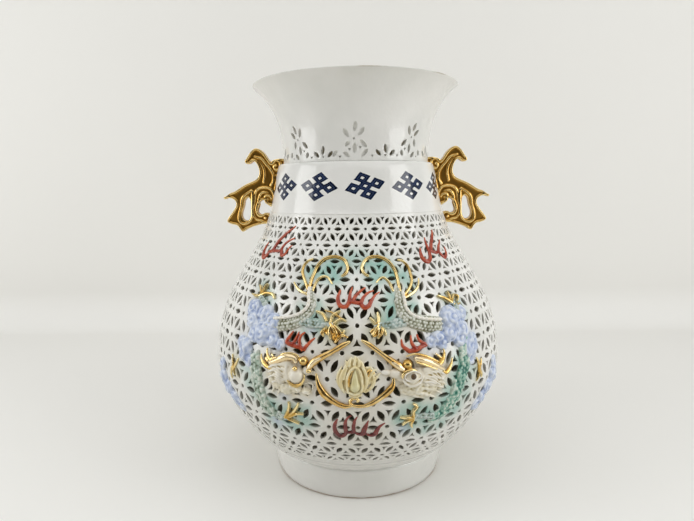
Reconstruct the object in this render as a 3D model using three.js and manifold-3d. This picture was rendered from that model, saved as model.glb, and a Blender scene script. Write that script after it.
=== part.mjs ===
// A double-walled porcelain vase with a pierced outer wall, in millimetres.
//
// A smooth inner vessel holds the water. Around it stands an outer shell of two luted halves, cut
// through in a lattice of six-petalled flowers. A plain collar, a flared mouth with pierced
// flowers and two scrolled handles close the top. On the front and on the back, two dragons,
// pressed in moulds and stuck on with slip, face a flaming pearl among clouds and flames.
// The origin is the middle of the foot, +Z is up and the front faces -Y.

import * as THREE from 'three';
import { mergeVertices } from 'three/addons/utils/BufferGeometryUtils.js';
import Module from 'manifold-3d';

const wasm = await Module();
wasm.setup();

// Driving dimensions of the outside, as radius and height
const HEIGHT = 305;
const FOOT_RADIUS = 67;
const FOOT_TOP_RADIUS = 72.3;
const FOOT_HEIGHT = 25;
const BELLY_RADIUS = 113.2;
const BELLY_HEIGHT = 97.7;
const SHOULDER_RADIUS = 68.5;
const SHOULDER_HEIGHT = 210.3;
const COLLAR_TOP_RADIUS = 61.2;
const COLLAR_TOP_HEIGHT = 246.5;
const THROAT_RADIUS = 57;
const RIM_RADIUS = 79.5;

// Pull points of the smooth curves between those places, as radius and height
const BELLY_START_PULL = [89.1, 38.3];
const BELLY_LOW_PULL = [BELLY_RADIUS, 71.2];
const BELLY_HIGH_PULL = [BELLY_RADIUS, 150.3];
const SHOULDER_PULL = [80.6, 170.1];
const THROAT_PULL = [THROAT_RADIUS, 270.9];
const RIM_PULL = [60.6, 289.3];

// Clay thickness, the air space between the two walls, and the joint left between two pieces
const WALL = 3.2;
const AIR_SPACE = 7;
const JOINT = 0.3;

// The foot: how wide its standing ring is, and the floor that the inner vessel stands on
const FOOT_RING_WIDTH = 4.5;
const FLOOR_UNDERSIDE = 11;
const FLOOR_TOP = 17;
const FOOT_HOLLOW_LEAN = 3;
const FLOOR_EDGE_SLOPE = [5, 4];
const BORDER_MIDDLE = 32;
const BORDER_TOP = 40;
const GROOVE_DEPTH = 0.9;
const GROOVE_HALF_WIDTH = 0.8;

// The inner vessel: its floor, its neck, its rim inside the mouth, and the heights at which its
// belly follows the outer wall
const LINER_WALL = 2.8;
const LINER_FLOOR_RADIUS = 50;
const LINER_FLOOR_EDGE = [12, 8];
const LINER_NECK_RADIUS = 50.5;
const LINER_TOP = 276;
const LINER_BELLY_HEIGHTS = [56, 76, 102, 136, 172, 202];

// The collar: how far its ledge reaches in and how its inside slopes, and how its edge is eased
const COLLAR_INSIDE = 5;
const COLLAR_SLOPE_RISE = 12;
const COLLAR_HOLLOW = 0.4;
const COLLAR_EDGE = 1.2;
const LEDGE_THICKNESS = 4;

// The mouth: the heights where its curve is sampled, and its rounded lip as steps in and down
const MOUTH_HEIGHTS = [COLLAR_TOP_HEIGHT, 274, 290, 299];
const LIP_STEPS = [[0.2, 1.4], [1, 0], [3, 0.4]];

// The pierced lattice. Its cells shrink with the radius, so every ring has the same number.
const COLUMNS = 16;
const ROWS_BELOW_BELLY = 2;
const ROWS_ABOVE_BELLY = 4;
const PETAL_TIP = 0.17;
const PETAL_HALF_WIDTH = 0.15;

// The pierced flowers round the throat
const THROAT_FLOWERS = 8;
const FLOWER_HEIGHT = 261;
const FLOWER_PETALS = 6;
const FLOWER_EYE = 2.2;
const FLOWER_REACH = 10;
const FLOWER_HALF_WIDTH = 1.9;
const PETAL_CUT_DEPTH = 16;
const PETAL_CUT_START = 9;

// The handles lie in the plane through the vase's axis.
const HANDLE_THICKNESS = 11;
const HANDLE_BEVEL = 1.8;

// The relief is mirrored about this angle from the middle of the front, in degrees.
const MIRROR_ANGLE = -1;
const RELIEF_JOINT = 0.5;
const NEIGHBOUR_GAP = 0.4;

const SEGMENTS = 32;
const MOUTH_SEGMENTS = 24;
const LINER_SEGMENTS = 24;

const finishes = {
  porcelain: new THREE.MeshStandardMaterial({ color: 0xf1efe9, roughness: 0.16, metalness: 0 }),
  liner: new THREE.MeshStandardMaterial({ color: 0xcfc9b8, roughness: 0.3, metalness: 0 }),
  gold: new THREE.MeshStandardMaterial({ color: 0xb8862c, roughness: 0.25, metalness: 0.9 }),
  ivory: new THREE.MeshStandardMaterial({ color: 0xeae0c4, roughness: 0.25, metalness: 0 }),
  scales: new THREE.MeshStandardMaterial({ color: 0xb7c4ad, roughness: 0.3, metalness: 0 }),
  turquoise: new THREE.MeshStandardMaterial({ color: 0x63b39b, roughness: 0.25, metalness: 0 }),
  cloud: new THREE.MeshStandardMaterial({ color: 0xa5b8de, roughness: 0.25, metalness: 0 }),
  flame: new THREE.MeshStandardMaterial({ color: 0xa8402c, roughness: 0.25, metalness: 0 }),
};

const vase = new THREE.Group();

function addPiece(name, geometry, finish, parent = vase) {
  const mesh = new THREE.Mesh(geometry, finishes[finish]);
  mesh.name = name;
  parent.add(mesh);
  return mesh;
}

// The outline of the outside, measured as it goes up

function measuredLine(path, divisions) {
  const points = path.getPoints(divisions);
  let turn = 0;
  return points.map((point, index) => {
    if (index > 0) {
      const before = points[index - 1];
      turn += (2 * point.distanceTo(before)) / (point.x + before.x);
    }
    const ahead = points[Math.min(index + 1, points.length - 1)];
    const behind = points[Math.max(index - 1, 0)];
    const along = ahead.clone().sub(behind).normalize();
    return { radius: point.x, height: point.y, turn, outR: along.y, outZ: -along.x };
  });
}

function lookUp(line, key, value) {
  let low = 0;
  let high = line.length - 1;
  while (high - low > 1) {
    const middle = (low + high) >> 1;
    if (line[middle][key] <= value) low = middle;
    else high = middle;
  }
  const share = (value - line[low][key]) / (line[high][key] - line[low][key]);
  const found = {};
  for (const name of Object.keys(line[low])) {
    found[name] = line[low][name] + share * (line[high][name] - line[low][name]);
  }
  return found;
}

const bellyPath = new THREE.Path();
bellyPath.moveTo(FOOT_TOP_RADIUS, FOOT_HEIGHT);
bellyPath.bezierCurveTo(...BELLY_START_PULL, ...BELLY_LOW_PULL, BELLY_RADIUS, BELLY_HEIGHT);
bellyPath.bezierCurveTo(...BELLY_HIGH_PULL, ...SHOULDER_PULL, SHOULDER_RADIUS, SHOULDER_HEIGHT);
const bellyLine = measuredLine(bellyPath, 120);

const mouthPath = new THREE.Path();
mouthPath.moveTo(THROAT_RADIUS, COLLAR_TOP_HEIGHT);
mouthPath.bezierCurveTo(...THROAT_PULL, ...RIM_PULL, RIM_RADIUS, HEIGHT);
const mouthLine = measuredLine(mouthPath, 60);

const bellyAt = (height) => lookUp(bellyLine, 'height', height);
const mouthAt = (height) => lookUp(mouthLine, 'height', height);

function inset(place, depth) {
  return [place.radius - depth * place.outR, place.height - depth * place.outZ];
}

function lathe(profile, segments = SEGMENTS) {
  const points = profile.map(([radius, height]) => new THREE.Vector2(radius, height));
  return new THREE.LatheGeometry(points, segments).rotateX(Math.PI / 2);
}

// Manifold solids: a closed geometry goes in, and a joined or cut one comes back

function solidFrom(geometry) {
  const bare = geometry.clone();
  bare.deleteAttribute('normal');
  bare.deleteAttribute('uv');
  const merged = mergeVertices(bare, 1e-4);
  const corners = [];
  for (let i = 0; i < merged.index.count; i += 3) {
    const [a, b, c] = [0, 1, 2].map((step) => merged.index.getX(i + step));
    if (a !== b && b !== c && c !== a) corners.push(a, b, c);
  }
  return new wasm.Manifold(new wasm.Mesh({
    numProp: 3,
    vertProperties: new Float32Array(merged.attributes.position.array),
    triVerts: new Uint32Array(corners),
  }));
}

function solidFromTriangles(positions) {
  const geometry = new THREE.BufferGeometry();
  geometry.setAttribute('position', new THREE.Float32BufferAttribute(positions, 3));
  return solidFrom(geometry);
}

function geometryFrom(solid) {
  const mesh = solid.getMesh();
  const geometry = new THREE.BufferGeometry();
  geometry.setAttribute('position', new THREE.BufferAttribute(mesh.vertProperties, 3));
  geometry.setIndex(new THREE.BufferAttribute(mesh.triVerts, 1));
  geometry.computeVertexNormals();
  return geometry;
}

// The base: standing ring, floor and the plain border below the lattice

function buildBase() {
  const borderLow = bellyAt(BORDER_MIDDLE);
  const borderTop = bellyAt(BORDER_TOP);
  const footInside = FOOT_RADIUS - FOOT_RING_WIDTH;
  return lathe([
    [0, FLOOR_UNDERSIDE],
    [footInside - FOOT_HOLLOW_LEAN, FLOOR_UNDERSIDE],
    [footInside, 0],
    [FOOT_RADIUS, 0],
    [FOOT_TOP_RADIUS - GROOVE_DEPTH / 3, FOOT_HEIGHT - GROOVE_HALF_WIDTH],
    [FOOT_TOP_RADIUS - GROOVE_DEPTH, FOOT_HEIGHT],
    [FOOT_TOP_RADIUS + GROOVE_DEPTH, FOOT_HEIGHT + GROOVE_HALF_WIDTH],
    inset(borderLow, 0),
    inset(borderTop, 0),
    inset(borderTop, WALL),
    inset(borderLow, WALL),
    [footInside, FLOOR_TOP + FLOOR_EDGE_SLOPE[1]],
    [footInside - FLOOR_EDGE_SLOPE[0], FLOOR_TOP],
    [0, FLOOR_TOP],
  ]);
}

// The inner vessel follows the outer wall at a steady distance and flares to meet the throat.

function buildLiner() {
  const depth = WALL + AIR_SPACE;
  const floor = FLOOR_TOP + JOINT;
  const bellyPlaces = LINER_BELLY_HEIGHTS.map(bellyAt);
  const [edgeOut, edgeUp] = LINER_FLOOR_EDGE;
  const top = inset(mouthAt(LINER_TOP), WALL);
  const outside = [
    [0, floor],
    [LINER_FLOOR_RADIUS, floor],
    [LINER_FLOOR_RADIUS + edgeOut, floor + edgeUp],
    ...bellyPlaces.map((place) => inset(place, depth)),
    [LINER_NECK_RADIUS + 3, SHOULDER_HEIGHT + 8],
    [LINER_NECK_RADIUS, COLLAR_TOP_HEIGHT - 4],
    [LINER_NECK_RADIUS + 0.5, LINER_TOP - 12],
    [top[0] - JOINT, LINER_TOP],
  ];
  const inside = [
    [top[0] - JOINT - LINER_WALL, LINER_TOP],
    [LINER_NECK_RADIUS - LINER_WALL, LINER_TOP - 12],
    [LINER_NECK_RADIUS - LINER_WALL, COLLAR_TOP_HEIGHT - 4],
    ...bellyPlaces.map((place) => inset(place, depth + LINER_WALL)).reverse(),
    [LINER_FLOOR_RADIUS + edgeOut - 3, floor + edgeUp + LINER_WALL],
    [LINER_FLOOR_RADIUS - 2, floor + LINER_WALL],
    [0, floor + LINER_WALL],
  ];
  return lathe([...outside, ...inside], LINER_SEGMENTS);
}

// The collar band, with the ledge at its top that carries the mouth

function buildCollar() {
  const bottom = SHOULDER_HEIGHT + JOINT;
  const insideRadius = SHOULDER_RADIUS - COLLAR_INSIDE;
  const ledgeRadius = THROAT_RADIUS - WALL - 0.5;
  return lathe([
    [insideRadius, bottom],
    [SHOULDER_RADIUS, bottom],
    [(SHOULDER_RADIUS + COLLAR_TOP_RADIUS) / 2 - COLLAR_HOLLOW, (bottom + COLLAR_TOP_HEIGHT) / 2],
    [COLLAR_TOP_RADIUS, COLLAR_TOP_HEIGHT - COLLAR_EDGE],
    [COLLAR_TOP_RADIUS - COLLAR_EDGE, COLLAR_TOP_HEIGHT - JOINT],
    [ledgeRadius, COLLAR_TOP_HEIGHT - JOINT],
    [ledgeRadius, COLLAR_TOP_HEIGHT - LEDGE_THICKNESS],
    [insideRadius, bottom + COLLAR_SLOPE_RISE],
    [insideRadius, bottom],
  ]);
}

// The mouth: a flared wall with a rounded lip, pierced by a ring of flowers

function buildMouth() {
  const outside = MOUTH_HEIGHTS.map((height) => inset(mouthAt(height), 0));
  const inside = MOUTH_HEIGHTS.map((height) => inset(mouthAt(height), WALL)).reverse();
  const lip = LIP_STEPS.map(([stepIn, stepDown]) => [RIM_RADIUS - stepIn, HEIGHT - stepDown]);
  let mouth = solidFrom(lathe([...outside, ...lip, ...inside, outside[0]], MOUTH_SEGMENTS));
  for (let flower = 0; flower < THROAT_FLOWERS; flower += 1) {
    const angle = THREE.MathUtils.degToRad(MIRROR_ANGLE + (flower * 360) / THROAT_FLOWERS);
    for (let petal = 0; petal < FLOWER_PETALS; petal += 1) {
      mouth = mouth.subtract(petalCutter(angle, (petal * 2 * Math.PI) / FLOWER_PETALS));
    }
  }
  return geometryFrom(mouth);
}

function petalCutter(angle, lean) {
  const middle = (FLOWER_EYE + FLOWER_REACH) / 2;
  const petal = new THREE.Shape([
    new THREE.Vector2(0, FLOWER_EYE),
    new THREE.Vector2(FLOWER_HALF_WIDTH, middle),
    new THREE.Vector2(0, FLOWER_REACH),
    new THREE.Vector2(-FLOWER_HALF_WIDTH, middle),
  ]);
  const geometry = new THREE.ExtrudeGeometry(petal, { depth: PETAL_CUT_DEPTH, bevelEnabled: false });
  geometry.rotateZ(lean);
  geometry.translate(0, 0, THROAT_RADIUS - PETAL_CUT_START);
  geometry.rotateX(Math.PI / 2);
  geometry.rotateZ(angle);
  geometry.translate(0, 0, FLOWER_HEIGHT);
  return solidFrom(geometry);
}

// The pierced wall. The lattice is drawn flat, with the turn round the vase across and the
// measured turn of the outline upwards, so a triangle keeps its shape on the curved wall. Each
// triangle of the lattice is one panel whose three sides are hollowed by half a petal.

function wallPoint(across, upwards, depth) {
  const place = lookUp(bellyLine, 'turn', upwards);
  const [radius, height] = inset(place, depth);
  return new THREE.Vector3(radius * Math.sin(across), -radius * Math.cos(across), height);
}

function panelOutline(corners, openSides) {
  const outline = [];
  corners.forEach((start, side) => {
    const end = corners[(side + 1) % 3];
    const edge = end.clone().sub(start);
    const inwards = new THREE.Vector2(-edge.y, edge.x);
    const hollow = openSides[side] ? PETAL_HALF_WIDTH : 0;
    const tip = start.clone().addScaledVector(edge, PETAL_TIP);
    const belly = start.clone().addScaledVector(edge, 0.5).addScaledVector(inwards, hollow);
    const farTip = start.clone().addScaledVector(edge, 1 - PETAL_TIP);
    const shut = openSides[side] === null;
    outline.push({ at: start, edge: shut }, { at: tip, edge: true });
    outline.push({ at: belly, edge: true }, { at: farTip, edge: shut });
  });
  return outline;
}

function buildPiercedWall(fromHeight, toHeight, rows) {
  const fromTurn = bellyAt(fromHeight).turn;
  const rowTurn = (bellyAt(toHeight).turn - fromTurn) / rows;
  const columnTurn = (2 * Math.PI) / COLUMNS;
  const positions = [];
  const corner = (column, row) => new THREE.Vector2(column * columnTurn, fromTurn + row * rowTurn);
  const addTriangle = (a, b, c) => positions.push(...a, ...b, ...c);

  const addPanel = (corners, openSides) => {
    const outline = panelOutline(corners, openSides);
    const outer = outline.map(({ at }) => wallPoint(at.x, at.y, 0));
    const inner = outline.map(({ at }) => wallPoint(at.x, at.y, WALL));
    for (const [a, b, c] of THREE.ShapeUtils.triangulateShape(outline.map(({ at }) => at), [])) {
      addTriangle(outer[a], outer[b], outer[c]);
      addTriangle(inner[a], inner[c], inner[b]);
    }
    outline.forEach(({ edge }, index) => {
      if (!edge) return;
      const next = (index + 1) % outline.length;
      addTriangle(outer[index], inner[index], inner[next]);
      addTriangle(outer[index], inner[next], outer[next]);
    });
  };

  for (let row = 0; row < rows; row += 1) {
    const shift = row % 2 === 0 ? 0 : 0.5;
    const below = row === 0 ? null : true;
    const above = row === rows - 1 ? null : true;
    for (let column = 0; column < COLUMNS; column += 1) {
      const left = column + shift;
      const [near, far] = [corner(left, row), corner(left + 1, row)];
      const [nearTop, farTop] = [corner(left + 0.5, row + 1), corner(left + 1.5, row + 1)];
      addPanel([near, far, nearTop], [below, true, true]);
      addPanel([far, farTop, nearTop], [true, above, true]);
    }
  }
  const geometry = new THREE.BufferGeometry();
  geometry.setAttribute('position', new THREE.Float32BufferAttribute(positions, 3));
  const merged = mergeVertices(geometry, 1e-3);
  merged.computeVertexNormals();
  return merged;
}

// A solid that fills the whole outside of the vase, for cutting what sits against it

function buildBlank(grow) {
  const bellySteps = 20;
  const beyond = 5;
  const profile = [[0, -beyond], [FOOT_TOP_RADIUS, -beyond]];
  for (let step = 0; step <= bellySteps; step += 1) {
    const height = FOOT_HEIGHT + ((SHOULDER_HEIGHT - FOOT_HEIGHT) * step) / bellySteps;
    profile.push(inset(bellyAt(height), -grow));
  }
  profile.push([COLLAR_TOP_RADIUS + grow, COLLAR_TOP_HEIGHT]);
  profile.push([THROAT_RADIUS + grow, COLLAR_TOP_HEIGHT + grow], [THROAT_RADIUS + grow, FLOWER_HEIGHT]);
  profile.push([RIM_RADIUS, HEIGHT + beyond], [0, HEIGHT + beyond]);
  return solidFrom(lathe(profile, 60));
}

const blank = buildBlank(JOINT + 0.15);

// A handle: the outline of a bent neck with a beak, a scroll, a keyhole and cusps below

function buildHandle() {
  const curve = (shape, points) => shape.splineThru(points.map(([x, z]) => new THREE.Vector2(x, z)));
  const shape = new THREE.Shape();
  shape.moveTo(55, 251);
  curve(shape, [[60.1, 251.8], [63.7, 250.8], [66.7, 247.8]]);
  curve(shape, [[69.5, 250.6], [72.2, 255.2], [76.3, 259.1], [80.5, 259.9], [84.6, 256.1],
    [88.2, 249.8]]);
  curve(shape, [[84.7, 246.9], [81.7, 249.3], [78.9, 247.5], [77.2, 243.3], [78.2, 237.6], [88.9, 231.3],
    [97.1, 226], [106.4, 220.1]]);
  curve(shape, [[100.9, 219.4], [97.2, 216.5], [99.9, 210.6], [104.5, 202.4]]);
  curve(shape, [[101.1, 199], [96, 197.9], [92.1, 193.1]]);
  curve(shape, [[87.3, 196.7], [82.8, 198.3], [75.5, 199.9], [71.8, 200.9], [68, 204.5]]);
  curve(shape, [[69.4, 207.4], [73.7, 208.5], [78.2, 205.9], [81, 209.6], [80.1, 214.5], [76.2, 220.3],
    [71.2, 217], [67.7, 213.9]]);
  shape.lineTo(62, 213.5);
  shape.lineTo(55, 235);
  const keyhole = new THREE.Shape();
  keyhole.moveTo(87.2, 221);
  curve(keyhole, [[84.8, 218.4], [84.4, 210.5], [86.3, 203.4], [89.3, 201.8], [91.9, 204.2],
    [91.1, 210.5]]);
  const plate = new THREE.ExtrudeGeometry(shape, {
    depth: HANDLE_THICKNESS - 2 * HANDLE_BEVEL,
    bevelThickness: HANDLE_BEVEL,
    bevelSize: HANDLE_BEVEL,
    bevelOffset: -HANDLE_BEVEL,
    bevelSegments: 1,
    curveSegments: 1,
  });
  const slot = new THREE.ExtrudeGeometry(keyhole, {
    depth: 2 * HANDLE_THICKNESS,
    bevelEnabled: false,
    curveSegments: 1,
  });
  plate.translate(0, 0, HANDLE_BEVEL - HANDLE_THICKNESS / 2);
  slot.translate(0, 0, -HANDLE_THICKNESS);
  const flat = solidFrom(plate).subtract(solidFrom(slot));
  return geometryFrom(flat.rotate([90, 0, 0]).subtract(blank));
}

// The relief. Places are an angle from the middle of the front, in degrees, and a height.

function onWall(degrees, height) {
  const place = bellyAt(height);
  const angle = THREE.MathUtils.degToRad(degrees);
  const outwards = new THREE.Vector3(Math.sin(angle), -Math.cos(angle), 0);
  const at = outwards.clone().multiplyScalar(place.radius).setZ(place.height);
  const normal = outwards.multiplyScalar(place.outR).setZ(place.outZ).normalize();
  return { at, normal };
}

// A strand of clay on the wall: a ridge that runs through its places. Its underside stands clear
// of the wall by RELIEF_JOINT, the layer of slip that holds it. Its width and height may change
// evenly from one end to the other. A fat strand has a broad back, and a thin one a single crest.

const THIN = [[-1, 0], [0, 1], [1, 0]];
const FAT = [[-1, 0], [-0.6, 0.85], [0.6, 0.85], [1, 0]];

function along(size, share) {
  return Array.isArray(size) ? THREE.MathUtils.lerp(size[0], size[1], share) : size;
}

function strand(places, width, height, section = THIN) {
  return (grow) => {
    const spots = places.map(([degrees, up]) => onWall(degrees, up));
    const last = spots.length - 1;
    const rings = spots.map(({ at, normal }, index) => {
      const ahead = spots[Math.min(index + 1, last)].at;
      const behind = spots[Math.max(index - 1, 0)].at;
      const direction = ahead.clone().sub(behind).normalize();
      const across = normal.clone().cross(direction).normalize();
      const halfWidth = along(width, index / last) + grow;
      const rise = along(height, index / last) + 2 * grow;
      const push = index === 0 ? -grow : index === last ? grow : 0;
      return section.map(([side, lift]) => at.clone()
        .addScaledVector(direction, push)
        .addScaledVector(across, -side * halfWidth)
        .addScaledVector(normal, RELIEF_JOINT - grow + lift * rise));
    });
    const positions = [];
    const face = (a, b, c) => positions.push(...a, ...b, ...c);
    const sides = section.length;
    for (let side = 0; side < sides; side += 1) {
      const next = (side + 1) % sides;
      for (let ring = 0; ring < last; ring += 1) {
        face(rings[ring][side], rings[ring][next], rings[ring + 1][side]);
        face(rings[ring][next], rings[ring + 1][next], rings[ring + 1][side]);
      }
      if (side > 0 && next > 0) {
        face(rings[0][0], rings[0][next], rings[0][side]);
        face(rings[last][0], rings[last][side], rings[last][next]);
      }
    }
    return solidFromTriangles(positions);
  };
}

// A pad of clay: a low dome whose rim and underside follow the wall

function lump(degrees, up, halfWidth, halfTall = halfWidth, rise = halfWidth, sides = 7) {
  return (grow) => {
    const { at, normal } = onWall(degrees, up);
    const across = new THREE.Vector3(0, 0, 1).cross(normal).normalize();
    const upwards = normal.clone().cross(across);
    const ring = (share, lift) => Array.from({ length: sides }, (_, side) => {
      const turn = (2 * Math.PI * side) / sides;
      const flat = at.clone()
        .addScaledVector(across, (halfWidth + grow) * share * Math.cos(turn))
        .addScaledVector(upwards, (halfTall + grow) * share * Math.sin(turn));
      const spot = onWall(THREE.MathUtils.radToDeg(Math.atan2(flat.x, -flat.y)), flat.z);
      return spot.at.addScaledVector(spot.normal, RELIEF_JOINT - grow + lift);
    });
    const rim = ring(1, 0);
    const shoulder = ring(0.68, 0.75 * (rise + 2 * grow));
    const top = at.clone().addScaledVector(normal, RELIEF_JOINT + rise + grow);
    const underside = at.clone().addScaledVector(normal, RELIEF_JOINT - grow);
    const positions = [];
    const face = (a, b, c) => positions.push(...a, ...b, ...c);
    for (let side = 0; side < sides; side += 1) {
      const next = (side + 1) % sides;
      face(underside, rim[next], rim[side]);
      face(rim[side], rim[next], shoulder[side]);
      face(rim[next], shoulder[next], shoulder[side]);
      face(shoulder[side], shoulder[next], top);
    }
    return solidFromTriangles(positions);
  };
}

// Each relief piece of one side, written for the left dragon

const tail = () => [
  strand([[-19.2, 159.5], [-19.8, 168.1], [-17.2, 177], [-12, 181.4], [-6.6, 180.7], [-3.6, 176],
    [-6, 170.2]], [1.9, 1.3], [3, 2.2]),
  strand([[-19.6, 161.4], [-23.6, 168.2], [-24.8, 174.8], [-21.4, 180.6]], [1.8, 1], [2.8, 1.8]),
  strand([[-19.4, 160.8], [-25, 161.6], [-28, 166.7]], [1.6, 1], [2.4, 1.6]),
  strand([[-19.2, 161.6], [-16.6, 168.6], [-11, 169]], [1.6, 1], [2.4, 1.6]),
];

const body = () => [
  strand([[-18.1, 157], [-16.6, 149.5], [-18.8, 144], [-24.1, 140], [-34, 136.4]], [3.2, 5.4],
    [4, 6], FAT),
];

const hindLeg = () => [
  strand([[-17, 145.4], [-9.2, 140.9]], [3.4, 2.4], [4.6, 3.8]),
  strand([[-9.6, 141], [-11.4, 134.2]], [1.9, 1], [3.6, 2.6]),
  strand([[-9.4, 140.8], [-8.4, 131.4]], [1.9, 1], [3.6, 2.6]),
  strand([[-9.6, 141], [-4.2, 138.8]], [1.9, 1], [3.6, 2.6]),
  strand([[-9.8, 141], [-4.9, 148.6]], [1.9, 1], [3.6, 2.6]),
];

const neck = () => [
  strand([[-38.2, 123], [-36.8, 111], [-35.6, 95], [-33, 83.9], [-27, 77.6]], [4.8, 3.4], [6, 3.5],
    FAT),
];

const foreLeg = () => [
  strand([[-28.8, 79.2], [-24.8, 79]], [3, 2.2], [4.4, 3.6]),
  strand([[-25.6, 79], [-23.2, 91.2]], [1.8, 1], [3.4, 2.6]),
  strand([[-25.2, 79], [-19.6, 91.4]], [1.8, 1], [3.4, 2.6]),
  strand([[-25, 79], [-18.2, 83.8]], [1.8, 1], [3.4, 2.6]),
  strand([[-25, 78.8], [-20.4, 75.6]], [1.8, 1], [3.4, 2.6]),
];

const bigCloud = () => [
  lump(-42.4, 142.6, 8.6, 9, 6.4),
  lump(-36.4, 142.6, 6.6, 7, 5.6, 6),
  lump(-37.6, 133, 8, 8.4, 6.2),
  strand([[-41, 147], [-42.4, 153.4], [-46.6, 155.6]], [2.2, 1.1], [4.6, 2.6]),
  strand([[-42, 151], [-44.9, 161]], [1.9, 1], [4, 2.6]),
  strand([[-41.6, 150], [-36, 155.4]], [1.9, 1], [4, 2.6]),
];

const roundCloud = () => [
  lump(-43.6, 118.6, 7.2, 8.6, 5.6),
];

const sideCloud = () => [
  lump(-60.6, 99, 6.4, 9, 5, 6),
  lump(-57.6, 87.4, 7.4, 8.8, 5.6, 6),
  lump(-54, 78.6, 6.4, 7, 4.6, 6),
];

const head = () => [
  lump(-24.2, 111.6, 9.8, 8.6, 9.4),
  lump(-18.4, 113, 7.8, 6.4, 8.6, 6),
  lump(-19, 104.6, 6, 3.8, 6, 5),
  strand([[-19, 118], [-26, 119.4], [-32.6, 122.4]], [2.8, 1.2], [6, 3.4]),
  strand([[-25, 115.4], [-33, 117.2]], [2.4, 1.2], [5.6, 3]),
  strand([[-25, 107.4], [-30.6, 98.4]], [3.2, 1.2], [5.6, 3]),
  strand([[-20.4, 105], [-26.4, 96.6]], [2.8, 1.2], [5, 3]),
  strand([[-17.2, 114.2], [-9.6, 126], [-2.6, 133.5]], [1.9, 1.2], [4.4, 3]),
  strand([[-17.2, 110.6], [-12.7, 105.6], [-6.2, 93.6], [-2.8, 91.6]], [1.7, 1.1], [3.8, 2.6]),
];

// The flaming pearl stands in the middle between the two heads.

const pearl = () => [
  lump(-1, 107, 10, 12, 3.4, 8),
  lump(-1, 106.6, 4.6, 8, 6.2, 6),
  strand([[-1, 116], [-0.2, 123.6]], [2.8, 1.2], [3.4, 2.4]),
  strand([[-4.6, 113], [-5, 120.4]], [2.2, 1.1], [3, 2.2]),
  strand([[2.6, 113], [3.4, 120.4]], [2.2, 1.1], [3, 2.2]),
];

// A tongue of flame is a hooked stroke; a flame is a few of them on one root.

function flame(middle, base, spread, tall, lean = 0) {
  const tongues = 3;
  const parts = [];
  for (let tongue = 0; tongue < tongues; tongue += 1) {
    const share = tongue / (tongues - 1) - 0.5;
    const root = middle + share * spread;
    const top = base + tall * (1 - 0.35 * Math.abs(share));
    parts.push(strand([[root, base], [root + (0.22 + lean) * spread, top]], [2, 0.9], [2.6, 1.8]));
  }
  const half = spread / 2;
  parts.push(strand([[middle - half, base], [middle + half, base - 0.5]], [2, 1.8], [2.6, 2.6]));
  return () => parts;
}

// Names, finishes and recipes. What comes first is whole, and what comes later makes room for it.

const paired = [
  ['head', 'ivory', head],
  ['big_cloud', 'cloud', bigCloud],
  ['round_cloud', 'cloud', roundCloud],
  ['side_cloud', 'cloud', sideCloud],
  ['hind_leg', 'gold', hindLeg],
  ['fore_leg', 'gold', foreLeg],
  ['hind_body', 'scales', body],
  ['neck', 'turquoise', neck],
  ['tail', 'gold', tail],
  ['upper_flame', 'flame', flame(-46, 184.5, 10, 12, 0.3)],
  ['middle_flame', 'flame', flame(-21.6, 126.6, 7, 8)],
];
const single = [
  ['pearl', 'ivory', pearl],
  ['high_flame', 'flame', flame(-1.4, 153.6, 8.6, 8)],
  ['low_flame', 'flame', flame(-1.6, 69, 9.4, 10)],
];

function joinParts(parts, grow) {
  return parts.map((part) => part(grow)).reduce((sum, solid) => sum.add(solid));
}

function mirrorSolid(solid) {
  const angle = THREE.MathUtils.degToRad(MIRROR_ANGLE);
  return solid.mirror([Math.cos(angle), Math.sin(angle), 0]);
}

const recipes = single.map(([name, finish, recipe]) => ({ name, finish, recipe, mirrored: false }));
for (const [name, finish, recipe] of paired) {
  recipes.push({ name: `left_${name}`, finish, recipe, mirrored: false });
  recipes.push({ name: `right_${name}`, finish, recipe, mirrored: true });
}

const front = new THREE.Group();
const back = new THREE.Group();
back.rotation.z = Math.PI;
const placed = [];
for (const { name, finish, recipe, mirrored: flip } of recipes) {
  const place = (solid) => (flip ? mirrorSolid(solid) : solid);
  let solid = place(joinParts(recipe(), 0));
  for (const earlier of placed) solid = solid.subtract(earlier);
  placed.push(place(joinParts(recipe(), NEIGHBOUR_GAP)));
  const geometry = geometryFrom(solid);
  addPiece(`front_${name}`, geometry, finish, front);
  addPiece(`back_${name}`, geometry.clone(), finish, back);
}

addPiece('base', buildBase(), 'porcelain');
addPiece('inner_vessel', buildLiner(), 'liner');
const seamLow = BELLY_HEIGHT - JOINT / 2;
const seamHigh = BELLY_HEIGHT + JOINT / 2;
const lowerWall = buildPiercedWall(BORDER_TOP + JOINT, seamLow, ROWS_BELOW_BELLY);
const upperWall = buildPiercedWall(seamHigh, SHOULDER_HEIGHT, ROWS_ABOVE_BELLY);
addPiece('lower_pierced_wall', lowerWall, 'porcelain');
addPiece('upper_pierced_wall', upperWall, 'porcelain');
addPiece('collar', buildCollar(), 'porcelain');
addPiece('mouth', buildMouth(), 'porcelain');
addPiece('right_handle', buildHandle(), 'gold');
addPiece('left_handle', buildHandle(), 'gold').rotation.z = Math.PI;
vase.add(front, back);

export default vase;
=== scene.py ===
# %% [markdown]
# # A double-walled porcelain vase
#
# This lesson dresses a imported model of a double-walled vase. The real one is cast and pressed in
# pieces: an inner vessel that holds the water, and an outer wall that is cut through in a lattice
# of flowers. Two dragons, pressed flat in moulds and stuck on with slip, face a flaming pearl on
# the front, and again on the back. Each piece is made here in the way that it is made in clay: the
# round ones are turned, the lattice is cut, and the relief is modelled flat and bent on the wall.

# %% Start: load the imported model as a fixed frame
from math import atan2, cos, pi, radians, sin

import bpy
import numpy as np
from mathutils import Matrix, Vector, noise


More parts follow.
